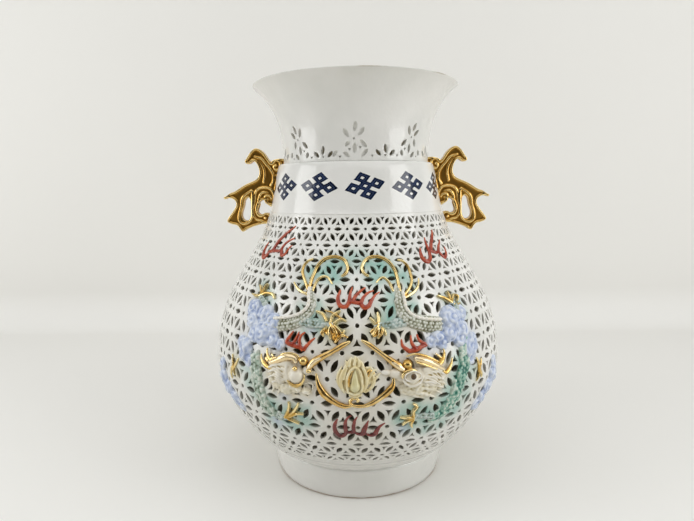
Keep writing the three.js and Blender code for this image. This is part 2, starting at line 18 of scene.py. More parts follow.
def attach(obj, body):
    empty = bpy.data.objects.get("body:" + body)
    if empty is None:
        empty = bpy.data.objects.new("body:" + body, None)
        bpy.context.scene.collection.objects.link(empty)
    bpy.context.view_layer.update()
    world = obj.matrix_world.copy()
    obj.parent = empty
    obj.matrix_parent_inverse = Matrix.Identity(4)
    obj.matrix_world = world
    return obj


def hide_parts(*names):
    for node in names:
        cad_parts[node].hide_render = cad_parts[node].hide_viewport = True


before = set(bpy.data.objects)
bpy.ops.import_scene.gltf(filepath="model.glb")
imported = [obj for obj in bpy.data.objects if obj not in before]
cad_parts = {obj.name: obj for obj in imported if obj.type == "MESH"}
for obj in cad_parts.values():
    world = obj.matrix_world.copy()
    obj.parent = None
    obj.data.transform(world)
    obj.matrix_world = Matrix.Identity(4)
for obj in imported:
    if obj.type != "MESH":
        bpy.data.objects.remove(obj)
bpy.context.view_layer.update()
bpy.ops.object.select_all(action="DESELECT")
MM = 0.001

# %% [markdown]
# ## The outline of the vase
#
# A potter checks a vase against a card with its outline cut out. The card here is two smooth
# curves for the belly and one for the mouth, in millimetres, as radius and height. Sampling them
# once gives every later step the radius, the direction that points out of the wall, and the turn:
# how far up the wall a place is, counted in the same angle as the way round it. In those two
# angles a small shape keeps its form on the curved wall, so the lattice and the relief are both
# drawn in them.

# %% The outline, sampled
WALL = 3.2
RIM_RADIUS, HEIGHT = 79.5, 305.0


def bezier(start, pull_out, pull_in, end, steps=300):
    """Points of one smooth curve between two places."""
    t = np.linspace(0, 1, steps)[:, None]
    places = [np.array(place, float) for place in (start, pull_out, pull_in, end)]
    weights = ((1 - t) ** 3, 3 * (1 - t) ** 2 * t, 3 * (1 - t) * t**2, t**3)
    return sum(weight * place for weight, place in zip(weights, places))


def measured(curve):
    """Radius, height, turn and the outward direction along a curve."""
    steps = np.hypot(*np.diff(curve, axis=0).T)
    turn = np.concatenate([[0], np.cumsum(2 * steps / (curve[1:, 0] + curve[:-1, 0]))])
    along = np.gradient(curve, axis=0)
    along /= np.linalg.norm(along, axis=1)[:, None]
    return np.column_stack([curve, turn, along[:, 1], -along[:, 0]])


belly = measured(np.vstack([
    bezier((72.3, 25), (89.1, 38.3), (113.2, 71.2), (113.2, 97.7)),
    bezier((113.2, 97.7), (113.2, 150.3), (80.6, 170.1), (68.5, 210.3))[1:],
]))
mouth_line = measured(bezier((57, 246.5), (57, 270.9), (60.6, 289.3), (RIM_RADIUS, HEIGHT)))


def inset(line, height, depth):
    """Radius and height of a place that lies a depth inside the outline."""
    radius, level, out_r, out_z = (np.interp(height, line[:, 1], line[:, k]) for k in (0, 1, 3, 4))
    return (radius - depth * out_r, level - depth * out_z)


print("belly radius in mm:", belly[:, 0].max())

# %% [markdown]
# ## The bench
#
# The relief is modelled lying flat, as in a potter's mould, and bent on the wall afterwards. The
# bench is a flat drawing of the wall in millimetres: x is the way round from the middle of the
# front, y is the way up, and z stands out of the wall. The bench is drawn for a wall 100 mm in
# radius, so a real width is divided by the local scale before it is drawn.

# %% Between the bench and the wall
BENCH = 100.0


def on_bench(degrees, height):
    """The place on the bench of an angle from the front and a height."""
    return (BENCH * radians(degrees), BENCH * np.interp(height, belly[:, 1], belly[:, 2]))


def scale_at(bench_y):
    """How much larger the wall is than the bench there."""
    return np.interp(np.asarray(bench_y) / BENCH, belly[:, 2], belly[:, 0]) / BENCH


def bend_on_wall(points, true_lift=False):
    """Bench points in millimetres become places on the wall in metres."""
    angle, turn = points[:, 0] / BENCH, points[:, 1] / BENCH
    radius, height, out_r, out_z = (np.interp(turn, belly[:, 2], belly[:, k]) for k in (0, 1, 3, 4))
    lift = points[:, 2] * (1 if true_lift else radius / BENCH)
    reach = radius + out_r * lift
    return np.column_stack([reach * np.sin(angle), -reach * np.cos(angle), height + out_z * lift]) * MM


# %% [markdown]
# ## Tools used again and again
#
# Most of Blender's operators work on what is selected, so `only` selects one piece. `modify` adds
# a modifier and applies it at once. `points_of` and `move_points` read and write a whole mesh in
# one go, which is how a shape is pulled into place by numbers instead of by hand.


# %% Selecting, modifying, reading and writing a mesh
def only(*pieces):
    """Selects these pieces alone, and makes the first one active."""
    bpy.ops.object.select_all(action="DESELECT")
    for piece in pieces:
        piece.select_set(True)
    bpy.context.view_layer.objects.active = pieces[0]
    return pieces[0]


def modify(piece, kind, **settings):
    """Adds a modifier with these settings and applies it."""
    only(piece)
    bpy.ops.object.modifier_add(type=kind)
    modifier = piece.modifiers[-1]
    for name, value in settings.items():
        setattr(modifier, name, value)
    bpy.ops.object.modifier_apply(modifier=modifier.name)
    return piece


def points_of(piece):
    """The corners of a piece's mesh as an array."""
    points = np.empty(len(piece.data.vertices) * 3, np.float32)
    piece.data.vertices.foreach_get("co", points)
    return points.reshape(-1, 3).astype(float)


def move_points(piece, points):
    """Writes the corners back."""
    piece.data.vertices.foreach_set("co", np.asarray(points, np.float32).ravel())
    piece.data.update()
    return piece


def normals_of(piece):
    """The direction in which each corner faces."""
    normals = np.empty(len(piece.data.vertices) * 3, np.float32)
    piece.data.vertices.foreach_get("normal", normals)
    return normals.reshape(-1, 3).astype(float)


def mark(piece, name, values):
    """Stores one number for each corner, for a material to read."""
    attribute = piece.data.attributes.new(name, "FLOAT", "POINT")
    attribute.data.foreach_set("value", np.asarray(values, np.float32))


def in_edit_mode(piece, *steps):
    """Runs operators on the whole mesh in edit mode."""
    only(piece)
    bpy.ops.object.mode_set(mode="EDIT")
    bpy.ops.mesh.select_all(action="SELECT")
    for step in steps:
        step()
    bpy.ops.object.mode_set(mode="OBJECT")
    return piece


def join(name, pieces):
    """Joins pieces into the first one."""
    only(*pieces)
    if len(pieces) > 1:
        bpy.ops.object.join()
    joined = bpy.context.object
    joined.name = name
    return joined


def smooth_faces(piece, degrees):
    """Shades a piece smooth, and keeps what is sharper than the angle sharp."""
    only(piece)
    bpy.ops.object.shade_smooth_by_angle(angle=radians(degrees))
    return piece


def copied(piece):
    """A copy of a piece that has its own mesh."""
    copy = piece.copy()
    copy.data = piece.data.copy()
    bpy.context.scene.collection.objects.link(copy)
    return copy


def select_all():
    """Selects the whole mesh in edit mode."""
    bpy.ops.mesh.select_all(action="SELECT")


# %% [markdown]
# ## Shared effects in the materials
#
# Porcelain colours are glass. Where the glaze lies thick, in a groove, its colour is deep, and
# where it runs thin over a ridge the white body shows through. One node group does that for every
# enamel: it reads how far a place stands out of its surroundings, breaks it up with a little
# noise, and mixes three colours. A second group gives the slow waves and the small specks of a
# fired glaze. The helpers each add a node and connect it, so a material reads like a recipe.


# %% Node helpers
def add(tree, kind, **settings):
    """Adds a node with these settings. A name such as in_2 sets that input."""
    node = tree.nodes.new(kind)
    for name, value in settings.items():
        if name.startswith("in_"):
            node.inputs[int(name[3:])].default_value = value
        else:
            setattr(node, name, value)
    return node


def feed(part, socket):
    """Gives an input another node's output, or a plain value."""
    if isinstance(part, bpy.types.NodeSocket):
        socket.id_data.links.new(part, socket)
    else:
        socket.default_value = part


def new_group(name, inputs, outputs):
    """A node group with named inputs and outputs. Returns it, what comes in and what goes out."""
    group = bpy.data.node_groups.new(name, "ShaderNodeTree")
    for label, value in inputs.items():
        kind = "NodeSocketFloat" if isinstance(value, float) else "NodeSocketColor"
        group.interface.new_socket(label, in_out="INPUT", socket_type=kind).default_value = value
    for label in outputs:
        kind = "NodeSocketColor" if label == "Color" else "NodeSocketFloat"
        group.interface.new_socket(label, in_out="OUTPUT", socket_type=kind)
    return group, add(group, "NodeGroupInput").outputs, add(group, "NodeGroupOutput").inputs


def math_node(tree, operation, *parts):
    """One sum. Each part is a number or another node's output."""
    node = add(tree, "ShaderNodeMath", operation=operation)
    for slot, part in enumerate(parts):
        feed(part, node.inputs[slot])
    return node.outputs[0]


def mix_colours(tree, share, first, second):
    """Mixes two colours. Each part is a value or another node's output."""
    node = add(tree, "ShaderNodeMix", data_type="RGBA")
    for slot, part in ((0, share), (6, first), (7, second)):
        feed(part, node.inputs[slot])
    return node.outputs[2]


def ramp(tree, value, low, high, **settings):
    """0 where a value is at the first end, and 1 where it has come to the second."""
    node = add(tree, "ShaderNodeMapRange", in_1=low, in_2=high, **settings)
    feed(value, node.inputs[0])
    return node.outputs[0]


def cloudy(tree, scale, detail, rough=0.5):
    """Soft noise that is fixed to the piece."""
    place = add(tree, "ShaderNodeTexCoord")
    texture = add(tree, "ShaderNodeTexNoise", in_3=detail, in_4=rough)
    feed(place.outputs["Object"], texture.inputs["Vector"])
    feed(scale, texture.inputs["Scale"])
    return texture.outputs["Fac"]


def one_axis(tree, axis, space="Object"):
    """One of the three coordinates of a place."""
    place, parts = add(tree, "ShaderNodeTexCoord"), add(tree, "ShaderNodeSeparateXYZ")
    feed(place.outputs[space], parts.inputs[0])
    return parts.outputs[axis]


def colour(red, green, blue):
    """A colour as a screen shows it, 0 to 255, turned into the linear light that nodes use."""
    parts = [part / 255 for part in (red, green, blue)]
    linear = [p / 12.92 if p <= 0.04045 else ((p + 0.055) / 1.055) ** 2.4 for p in parts]
    return (*linear, 1.0)


# %% The enamel group
def build_enamel_group():
    """Thin, plain and pooled enamel by how far a place stands out."""
    group, into, out = new_group("enamel_pooling", {
        "Crest": 0.5, "Thin": (1, 1, 1, 1), "Plain": (0.5, 0.5, 0.5, 1), "Pooled": (0.1, 0.1, 0.1, 1),
        "Scale": 160.0, "Uneven": 0.5}, ["Color", "Depth"])
    wander = math_node(group, "SUBTRACT", cloudy(group, into["Scale"], 3.0, 0.6), 0.5)
    level = math_node(group, "MULTIPLY_ADD", wander, into["Uneven"], into["Crest"])
    thin = ramp(group, level, 0.55, 0.85, interpolation_type="SMOOTHSTEP")
    deep = ramp(group, level, 0.5, 0.15, interpolation_type="SMOOTHSTEP")
    base = mix_colours(group, thin, into["Plain"], into["Thin"])
    feed(mix_colours(group, deep, base, into["Pooled"]), out["Color"])
    feed(level, out["Depth"])
    return group


# %% The glaze surface group
def build_glaze_group():
    """Slow waves, faint mottling and rare pinholes of a fired glaze."""
    group, into, out = new_group("glaze_surface", {
        "Clear": (0.8, 0.8, 0.78, 1), "Shade": (0.7, 0.7, 0.67, 1), "Speck": (0.3, 0.26, 0.2, 1),
        "Speck Size": 0.05}, ["Color", "Roughness", "Height"])
    broad = cloudy(group, 22.0, 3.0, 0.55)
    fine = cloudy(group, 260.0, 2.0)
    place, cells = add(group, "ShaderNodeTexCoord"), add(group, "ShaderNodeTexVoronoi", in_2=26.0)
    feed(place.outputs["Object"], cells.inputs["Vector"])
    mottle = ramp(group, broad, 0.42, 0.68)
    tone = mix_colours(group, mottle, into["Clear"], into["Shade"])
    speck = math_node(group, "LESS_THAN", cells.outputs["Distance"], into["Speck Size"])
    rare = math_node(group, "GREATER_THAN", broad, 0.56)
    feed(mix_colours(group, math_node(group, "MULTIPLY", speck, rare), tone, into["Speck"]), out["Color"])
    feed(math_node(group, "MULTIPLY_ADD", fine, 0.08, 0.07), out["Roughness"])
    feed(math_node(group, "MULTIPLY_ADD", broad, 3.0, fine), out["Height"])
    return group


enamel_group = build_enamel_group()
glaze_group = build_glaze_group()
print("groups:", enamel_group.name, glaze_group.name)

# %% [markdown]
# ## White glaze
#
# The body is a cool white porcelain under a clear glaze. It could be one white colour, but then
# the vase looks like plastic, so the glaze group gives it faint waves in the shine, a slow change
# of tone and a few specks. The pierced walls also carry four washes that the decorator brushed
# round the dragons and the pearl. Inside their holes a painted shade darkens them, with a little
# pooled glaze and dust. How much of each wash a place takes, and how deep it lies in a hole, are
# numbers that are stored on the mesh.


# %% White glaze
GLASS = 1.52
# The first four are brushed washes. depth is painted shade inside the holes, with a little pooled glaze and
# dust.
wall_washes_and_hole_shade = {"cream": (224, 206, 158), "olive": (176, 174, 128), "green": (140, 190, 176),
               "blue": (178, 194, 222), "depth": (138, 132, 114)}


def new_material(name):
    """An empty material with a Principled surface. Returns the material, its tree and that node."""
    material = bpy.data.materials.new(name)
    material.use_nodes = True
    tree = material.node_tree
    return material, tree, tree.nodes["Principled BSDF"]


def place_group(tree, group, **values):
    """Puts a group into a material with its own values."""
    node = add(tree, "ShaderNodeGroup", node_tree=group)
    for name, value in values.items():
        node.inputs[name.replace("_", " ")].default_value = value
    return node


def attribute(tree, name):
    """A number that is stored on the mesh."""
    return add(tree, "ShaderNodeAttribute", attribute_name=name).outputs["Fac"]


def cover(tree, surface, tone, rough, height, relief, strength):
    """Gives a surface its colour, its roughness and a fine relief in the shading."""
    feed(tone, surface.inputs["Base Color"])
    feed(rough, surface.inputs["Roughness"])
    bump = add(tree, "ShaderNodeBump")
    bump.inputs["Distance"].default_value = relief
    bump.inputs["Strength"].default_value = strength
    feed(height, bump.inputs["Height"])
    feed(bump.outputs["Normal"], surface.inputs["Normal"])


def new_glaze(name, clear=(244, 243, 238), shade=(236, 236, 230), speck=(120, 104, 80), speck_size=0.03):
    """A material that holds the glaze group. Returns the material, its tree, its surface and the group."""
    material, tree, surface = new_material(name)
    glaze = place_group(tree, glaze_group, Clear=colour(*clear), Shade=colour(*shade),
                        Speck=colour(*speck), Speck_Size=speck_size)
    return material, tree, surface, glaze


def glaze_over(tree, surface, glaze, tone, rough=None):
    """Clear glaze over a colour, with the glaze's own shine unless another is given."""
    surface.inputs["IOR"].default_value = GLASS
    rough = glaze.outputs["Roughness"] if rough is None else rough
    cover(tree, surface, tone, rough, glaze.outputs["Height"], 0.0003, 0.5)


def build_white_glaze(name, washes):
    """White glaze that takes each wash, and the painted shade of the holes where it is given, as strongly as
    the mesh says.
    """
    material, tree, surface, glaze = new_glaze(name, (243, 242, 236), (234, 234, 227))
    tone = glaze.outputs["Color"]
    for wash, shade in washes.items():
        tone = mix_colours(tree, attribute(tree, wash), tone, colour(*shade))
    glaze_over(tree, surface, glaze, tone)
    return material


white_glaze = build_white_glaze("white_glaze", {})
washed_shaded_glaze = build_white_glaze("washed_shaded_glaze", wall_washes_and_hole_shade)
print("washes and depth:", ", ".join(wall_washes_and_hole_shade))

# %% [markdown]
# ## The finishes of the relief
#
# Each enamel is the same recipe with its own three colours: the thin colour on the crests, the
# plain one, and the pooled one in the grooves. The gilding is bright gold that is rubbed on the
# crests and brown where it lies in a hollow, so it is a metal with three colours and a roughness
# that follows the same number. Its pale crests are partly painted highlight, and its brown
# hollows are partly painted shade and dark reflection. The lists give the three colours by slot,
# and then what differs from the rest: how uneven and how fine an enamel's clouds are, or the shine
# of a gilding.


# %% Enamel and gilding
def new_enamel(name, thin, plain, pooled, uneven, scale):
    """A material whose colour follows the crests. Returns it with its tree, surface, colour and depth."""
    material, tree, surface = new_material(name)
    enamel = place_group(tree, enamel_group, Thin=colour(*thin), Plain=colour(*plain),
                         Pooled=colour(*pooled), Uneven=uneven, Scale=scale)
    feed(attribute(tree, "crest"), enamel.inputs["Crest"])
    return material, tree, surface, enamel.outputs["Color"], enamel.outputs["Depth"]


def build_enamel(name, thin, plain, pooled, uneven=0.5, scale=160.0):
    """A glassy colour that pools in the grooves."""
    material, tree, surface, tone, depth = new_enamel(name, thin, plain, pooled, uneven, scale)
    surface.inputs["IOR"].default_value = GLASS
    cover(tree, surface, tone, 0.16, depth, 0.0001, 0.4)
    return material


def build_gilding(name, bright, gold, brown, rough_low=0.2, rough_high=0.42, metallic=1.0):
    """Burnished gold: pale on the crests, partly painted highlight, and brown in the hollows, partly painted
    shade.
    """
    material, tree, surface, tone, depth = new_enamel(name, bright, gold, brown, 0.35, 120.0)
    rough = ramp(tree, depth, 0.2, 0.8, in_3=rough_high, in_4=rough_low)
    surface.inputs["Metallic"].default_value = metallic
    cover(tree, surface, tone, rough, depth, 0.0002, 0.4)
    return material


# %% The colours, by slot
# On gilding, the first colour (on the crests) is partly painted highlight, and the last (in the hollows) is
# partly painted shade and dark reflection.
gildings = {
    "gilding": {
        "gilding": ((246, 214, 142), (184, 136, 58), (114, 78, 25)),
        "whisker_gilding": ((246, 220, 158), (200, 156, 82), (112, 78, 26)),
        "pale_gilding": ((246, 226, 168), (196, 156, 78), (104, 70, 24)),
        "lustre": ((255, 240, 204), (240, 212, 160), (164, 120, 56), 0.12, 0.3, 0.65)}}
enamels = {
    "ivory_enamel": {
        "ivory_enamel": ((246, 243, 233), (240, 233, 214), (180, 160, 108)),
        "beard_enamel": ((243, 238, 220), (232, 224, 198), (166, 150, 102)),
        "pupil_enamel": ((110, 84, 48), (66, 48, 24), (38, 27, 12))},
    "pearl_enamel": {
        "pearl_enamel": ((245, 236, 200), (230, 213, 160), (164, 130, 60)),
        "drop_enamel": ((228, 222, 176), (208, 198, 142), (158, 104, 48))},
    "scale_enamel": {
        "scale_enamel": ((222, 223, 212), (176, 178, 156), (98, 96, 62), 1.0),
        "limb_enamel": ((198, 208, 200), (158, 178, 170), (98, 104, 74), 1.5, 200.0),
        "olive_enamel": ((208, 200, 156), (150, 142, 90), (78, 66, 32), 1.1)},
    "turquoise_enamel": {
        "moss_enamel": ((214, 221, 207), (170, 190, 172), (84, 98, 70), 1.7, 110.0),
        "turquoise_enamel": ((206, 220, 204), (140, 184, 164), (34, 108, 90), 1.8, 110.0)},
    "cloud_enamel": {
        "cloud_enamel": ((222, 229, 240), (192, 204, 227), (150, 167, 206), 1.1, 90.0)},
    "flame_enamel": {
        "flame_enamel": ((204, 98, 62), (150, 48, 26), (86, 24, 12)),
        "maroon_enamel": ((150, 70, 60), (98, 26, 26), (60, 12, 14))}}
finishes = {}
for build, slots in ((build_gilding, gildings), (build_enamel, enamels)):
    for slot, recipes in slots.items():
        for name, recipe in recipes.items():
            finishes[name] = (slot, build(name, *recipe))
print("finishes of the relief:", len(finishes))

# %% [markdown]
# ## Finishing a piece
#
# Every piece rides on the vase's one body and hides the nodes of the imported model that it
# stands for.


# %% Finishing a piece
made = []


def finish_piece(piece, nodes, slot, material=None):
    """The frame's body and the nodes that a piece stands for. The slot is not used. A material covers it all.
    """
    if material:
        piece.data.materials.clear()
        piece.data.materials.append(material)
    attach(piece, "root")
    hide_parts(*nodes)
    made.append(piece)
    return piece


# %% [markdown]
# ## Turned pieces
#
# The foot, the collar, the mouth and the inner vessel are round, turned or cast in round moulds.
# Here a ring of points is pulled onto the cut profile of the wall and spun round the axis. A
# screw modifier would do the same, but spin leaves plain geometry that can be cut into.


# %% Turning a profile
def turn_profile(name, profile, steps):
    """Spins a closed profile of radius and height, in millimetres, round the axis."""
    bpy.ops.mesh.primitive_circle_add(vertices=len(profile), radius=1)
    piece = bpy.context.object
    piece.name = name
    move_points(piece, [(radius * MM, 0, height * MM) for radius, height in profile])
    in_edit_mode(
        piece,
        lambda: bpy.ops.mesh.spin(steps=steps, angle=2 * pi, center=(0, 0, 0), axis=(0, 0, 1)),
        select_all,
        lambda: bpy.ops.mesh.remove_doubles(threshold=1e-6),
        lambda: bpy.ops.mesh.dissolve_degenerate(threshold=1e-7),
        bpy.ops.mesh.delete_loose,
        select_all,
        bpy.ops.mesh.normals_make_consistent,
    )
    print(name, "corners:", len(piece.data.vertices))
    return piece


# %% [markdown]
# ## The foot
#
# The foot is thick and plain. Its standing ring is wiped bare of glaze, which shows as a thin
# brown line where it meets the table, and one turned groove marks the border under the lattice.
# The border follows the outline card, so its places are a height and a depth under the outline.

# %% The foot and the border
underside = [(0, 11), (54, 11), (58.6, 10.4), (61.6, 6), (62.6, 1.2)]
standing_ring = [(63.4, 0.2), (66, 0.1), (66.9, 0.9), (67.7, 4), (68.9, 10), (70.4, 17), (71.9, 22.6),
                 (72.2, 24.2), (71.6, 25), (72.4, 25.8)]
border = [(27, 0), (28.6, 0), (30.2, 0), (31.8, 0), (33, 0), (33.9, 0), (34.7, 0.5), (35.5, 0), (37.5, 0),
          (39.6, 0), (40.25, -0.08), (40.25, WALL), (34, WALL)]
floor = [(66, 24), (62.5, 20.4), (57.5, 17), (0, 17)]
border_profile = [inset(belly, height, depth) for height, depth in border]
foot = turn_profile("foot", underside + standing_ring + border_profile + floor, 128)
smooth_faces(foot, 50)


def build_foot_glaze():
    """White glaze that stops short of the standing ring, with a ragged edge."""
    material, tree, surface, glaze = new_glaze("foot_glaze")
    edge = math_node(tree, "MULTIPLY_ADD", cloudy(tree, 90.0, 3.0), -0.0016, one_axis(tree, "Z"))
    bare = ramp(tree, edge, 0.0006, -0.0002)
    tone = mix_colours(tree, bare, glaze.outputs["Color"], colour(172, 138, 98))
    rough = math_node(tree, "MULTIPLY_ADD", bare, 0.6, glaze.outputs["Roughness"])
    glaze_over(tree, surface, glaze, tone, rough)
    return material


finish_piece(foot, ["base"], "porcelain_glaze", build_foot_glaze())

# %% [markdown]
# ## The inner vessel
#
# The inner vessel is seen in three places: its white inside through the mouth, its outside through
# every hole of the lattice, where little light reaches it, and a band of its outside through the
# flowers at the throat. It therefore has two finishes on one mesh: white glaze inside, and outside
# a dull grey-brown painted shade for the dark gap, which turns to a light, warm painted shade at
# the throat.

# %% The inner vessel
GAP = WALL + 7
LINER = 2.8
THROAT_START, THROAT_FULL, GLAZED_RIM = 0.228, 0.24, 0.275
levels = np.linspace(54, 203, 22)
outer_side = [(0, 17.3), (46, 17.3), (51, 18.2), (56, 21.5), (62, 26.5), (71, 34), (80.5, 43)]
outer_side += [inset(belly, level, GAP) for level in levels]
outer_side += [(53.6, 216), (51.6, 226), (50.5, 240), (50.5, 252), (50.8, 262), (52.2, 270), (53.4, 276)]
inner_side = [(radius - LINER, height) for radius, height in outer_side[-7:]][::-1]
inner_side += [inset(belly, level, GAP + LINER) for level in levels[::-1]]
inner_side += [(77.5, 44.5), (68.6, 36.2), (60, 29), (54, 24), (49.5, 21), (45, 20.1), (0, 20.1)]
inner_vessel = turn_profile("inner_vessel", outer_side + inner_side, 96)
smooth_faces(inner_vessel, 50)


def build_painted_shade_side():
    """The outside of the inner vessel: a dull painted shade for the dark gap, lighter and warm at the throat.
    """
    shades = ((164, 155, 130), (128, 120, 97), (60, 54, 40))
    material, tree, surface, glaze = new_glaze("painted_shade_side", *shades, speck_size=0.1)
    throat = ramp(tree, one_axis(tree, "Z"), THROAT_START, THROAT_FULL)
    tone = mix_colours(tree, throat, glaze.outputs["Color"], colour(214, 200, 166))
    cover(tree, surface, tone, 0.6, glaze.outputs["Height"], 0.0003, 0.5)
    return material


inner_vessel.data.materials.append(white_glaze)
inner_vessel.data.materials.append(build_painted_shade_side())
# Outward faces below the glazed rim, and faces that look down, take the painted shade.
for face in inner_vessel.data.polygons:
    middle = face.center
    outwards = Vector((middle.x, middle.y, 0)).dot(face.normal)
    face.material_index = 1 if outwards > 0 and middle.z < GLAZED_RIM or face.normal.z < -0.5 else 0
finish_piece(inner_vessel, ["inner_vessel"], "inner_glaze")

# %% [markdown]
# ## The collar and its painted knots
#
# Twelve endless knots are painted in cobalt blue round the collar, each a cross of five lozenges
# with white eyes. They could be an image or geometry. Here each face of the collar gets a UV map
# that measures its own knot: one step across and one step up lead from the middle lozenge to its
# neighbours. The material draws a lozenge wherever the two distances add up to less than a limit,
# so the edges stay crisp. Each knot leans and climbs a little in its own way.

# %% The collar, turned
collar_profile = [(64.2, 210.6), (68.75, 209.75), (68.95, 210.1), (68.6, 210.9), (67.8, 213.6), (66.9, 217),
                  (65.4, 224), (64.1, 231), (62.9, 238), (61.7, 243.4), (61.2, 244.6), (60.8, 245.6),
                  (60, 246.2), (57.6, 246.3), (53.3, 246.3), (53.3, 242.5), (58, 232), (64.2, 220)]
collar = turn_profile("collar", collar_profile, 144)
smooth_faces(collar, 50)

# %% The knots' own map
KNOTS = 12
KNOT_TURN = 2 * pi / KNOTS
FIRST_KNOT = radians(5.8)
KNOT_HEIGHT = 228.9
STEP_ACROSS, STEP_UP = radians(7.8), 5.9
front_knots = {0: (0.24, 0.3), 1: (0.13, 0.15), -1: (-0.14, -0.12)}
knot_map = collar.data.uv_layers.new(name="knots")
coordinates = points_of(collar) / MM
for face in collar.data.polygons:
    centre = Vector(face.center) / MM
    knot = round((atan2(centre.x, -centre.y) - FIRST_KNOT) / KNOT_TURN)
    middle = FIRST_KNOT + knot * KNOT_TURN
    hidden_knot = (0.16 * sin(5.0 * knot), 0.14 * cos(3.0 * knot))
    lean, climb = front_knots.get(knot, hidden_knot)
    rise = KNOT_HEIGHT + 0.7 * sin(3.0 * knot)
    for loop in face.loop_indices:
        x, y, z = coordinates[collar.data.loops[loop].vertex_index]
        around = atan2(x, -y) - middle
        around = (around + pi) % (2 * pi) - pi
        across, up = around / STEP_ACROSS, (z - rise) / STEP_UP
        knot_map.data[loop].uv = (across + lean * up, up - climb * across)
print("knots:", KNOTS)


# %% The painted glaze
def distance_to_lozenges(tree):
    """How far a place is from the middle of the nearest of the five lozenges, counted in steps."""
    uv, parts = add(tree, "ShaderNodeUVMap", uv_map="knots"), add(tree, "ShaderNodeSeparateXYZ")
    feed(uv.outputs["UV"], parts.inputs[0])
    across, up = (math_node(tree, "ABSOLUTE", parts.outputs[axis]) for axis in ("X", "Y"))
    nearest = math_node(tree, "ADD", across, up)
    for one, other in ((across, up), (up, across)):
        past = math_node(tree, "ABSOLUTE", math_node(tree, "SUBTRACT", one, 1.0))
        nearest = math_node(tree, "MINIMUM", nearest, math_node(tree, "ADD", past, other))
    return nearest


def build_knot_glaze():
    """White glaze with the knots drawn in cobalt: a lozenge, a paler line in it and a white eye."""
    material, tree, surface, glaze = new_glaze("knot_glaze")
    far = distance_to_lozenges(tree)
    ragged = cloudy(tree, 420.0, 2.0)
    inside = math_node(tree, "LESS_THAN", far, math_node(tree, "MULTIPLY_ADD", ragged, 0.12, 0.68))
    eye = math_node(tree, "GREATER_THAN", far, math_node(tree, "MULTIPLY_ADD", ragged, 0.12, 0.13))
    painted = math_node(tree, "MULTIPLY", inside, eye)
    brushed = ramp(tree, cloudy(tree, 150.0, 3.0), 0.35, 0.75)
    blue = mix_colours(tree, brushed, colour(12, 24, 48), colour(34, 50, 86))
    line = math_node(tree, "MULTIPLY", math_node(tree, "COMPARE", far, 0.44, 0.03), 0.35)
    blue = mix_colours(tree, line, blue, colour(110, 122, 150))
    tone = mix_colours(tree, painted, glaze.outputs["Color"], blue)
    glaze_over(tree, surface, glaze, tone)
    return material


finish_piece(collar, ["collar"], "porcelain_glaze", build_knot_glaze())

# %% [markdown]
# ## The mouth and its pierced flowers
#
# The flared mouth is turned like the rest. Eight flowers of long petals are cut round its throat,
# with a frieze of small petals and wedges under them along the collar. A blade is a flat plate
# with the outline of a petal, an eye or a wedge. A copy is bent to the throat at every opening,
# and one boolean modifier then cuts them all. On the front flower the glaze has run in and closed
# the petals, so the blades there only go part of the way.

# %% The mouth, turned
levels = [246.4, 250, 254, 258, 262, 266, 270, 274, 278, 282, 286, 289.5, 292.5, 295.5, 298, 300.2, 302]
outside = [inset(mouth_line, level, 0) for level in levels]
inside = [inset(mouth_line, level, WALL) for level in levels[::-1]]
lip = [(77.9, 303.6), (78.7, 304.2), (79.2, 304.75), (78.9, HEIGHT), (77.9, 304.95), (76.6, 304.6),
       (75.4, 303.9)]
mouth = turn_profile("mouth", outside + lip + inside, 160)

# %% [markdown]
# A blade stands up from the bench as a plate 1 high. When it is set, its lower side goes to the
# depth of the cut and its upper side clear of the wall. The drawing of one flower is a list of
# petals: how far aside of the eye, how far above it, how long, and how many degrees it leans.


# %% The blades
THROAT_RADIUS = 57.0
CLEAR_OF_WALL = 6.0


def flat_plate(outline, low, high):
    """A plate with this outline, from one level up to another."""
    bpy.ops.mesh.primitive_circle_add(vertices=len(outline), radius=1, fill_type="NGON")
    plate = bpy.context.object
    move_points(plate, [(x, y, low) for x, y in outline])
    extrude = bpy.ops.mesh.extrude_region_move
    in_edit_mode(plate, lambda: extrude(TRANSFORM_OT_translate={"value": (0, 0, high - low)}),
                 select_all, bpy.ops.mesh.normals_make_consistent)
    return plate


def make_blade(length, width, corners=12):
    """A plate with the outline of a petal."""
    turns = [2 * pi * corner / corners for corner in range(corners)]
    outline = [(width / 2 * sin(t) * abs(sin(t)) ** 0.2, length / 2 * cos(t)) for t in turns]
    return flat_plate(outline, 0, 1)


def set_blade(model, flower, aside, height, degrees, depth):
    """A copy of a blade at its place on the throat, cutting to a depth under the surface."""
    blade = copied(model)
    points = points_of(blade)
    lean = radians(degrees)
    x = points[:, 0] * cos(lean) + points[:, 1] * sin(lean) + aside
    y = -points[:, 0] * sin(lean) + points[:, 1] * cos(lean) + height
    angle = flower + x / THROAT_RADIUS
    surface = np.interp(y, mouth_line[:, 1], mouth_line[:, 0])
    radius = np.where(points[:, 2] > 0.5, surface + CLEAR_OF_WALL, surface - depth)
    return move_points(blade, np.column_stack([radius * np.sin(angle), -radius * np.cos(angle), y]) * MM)


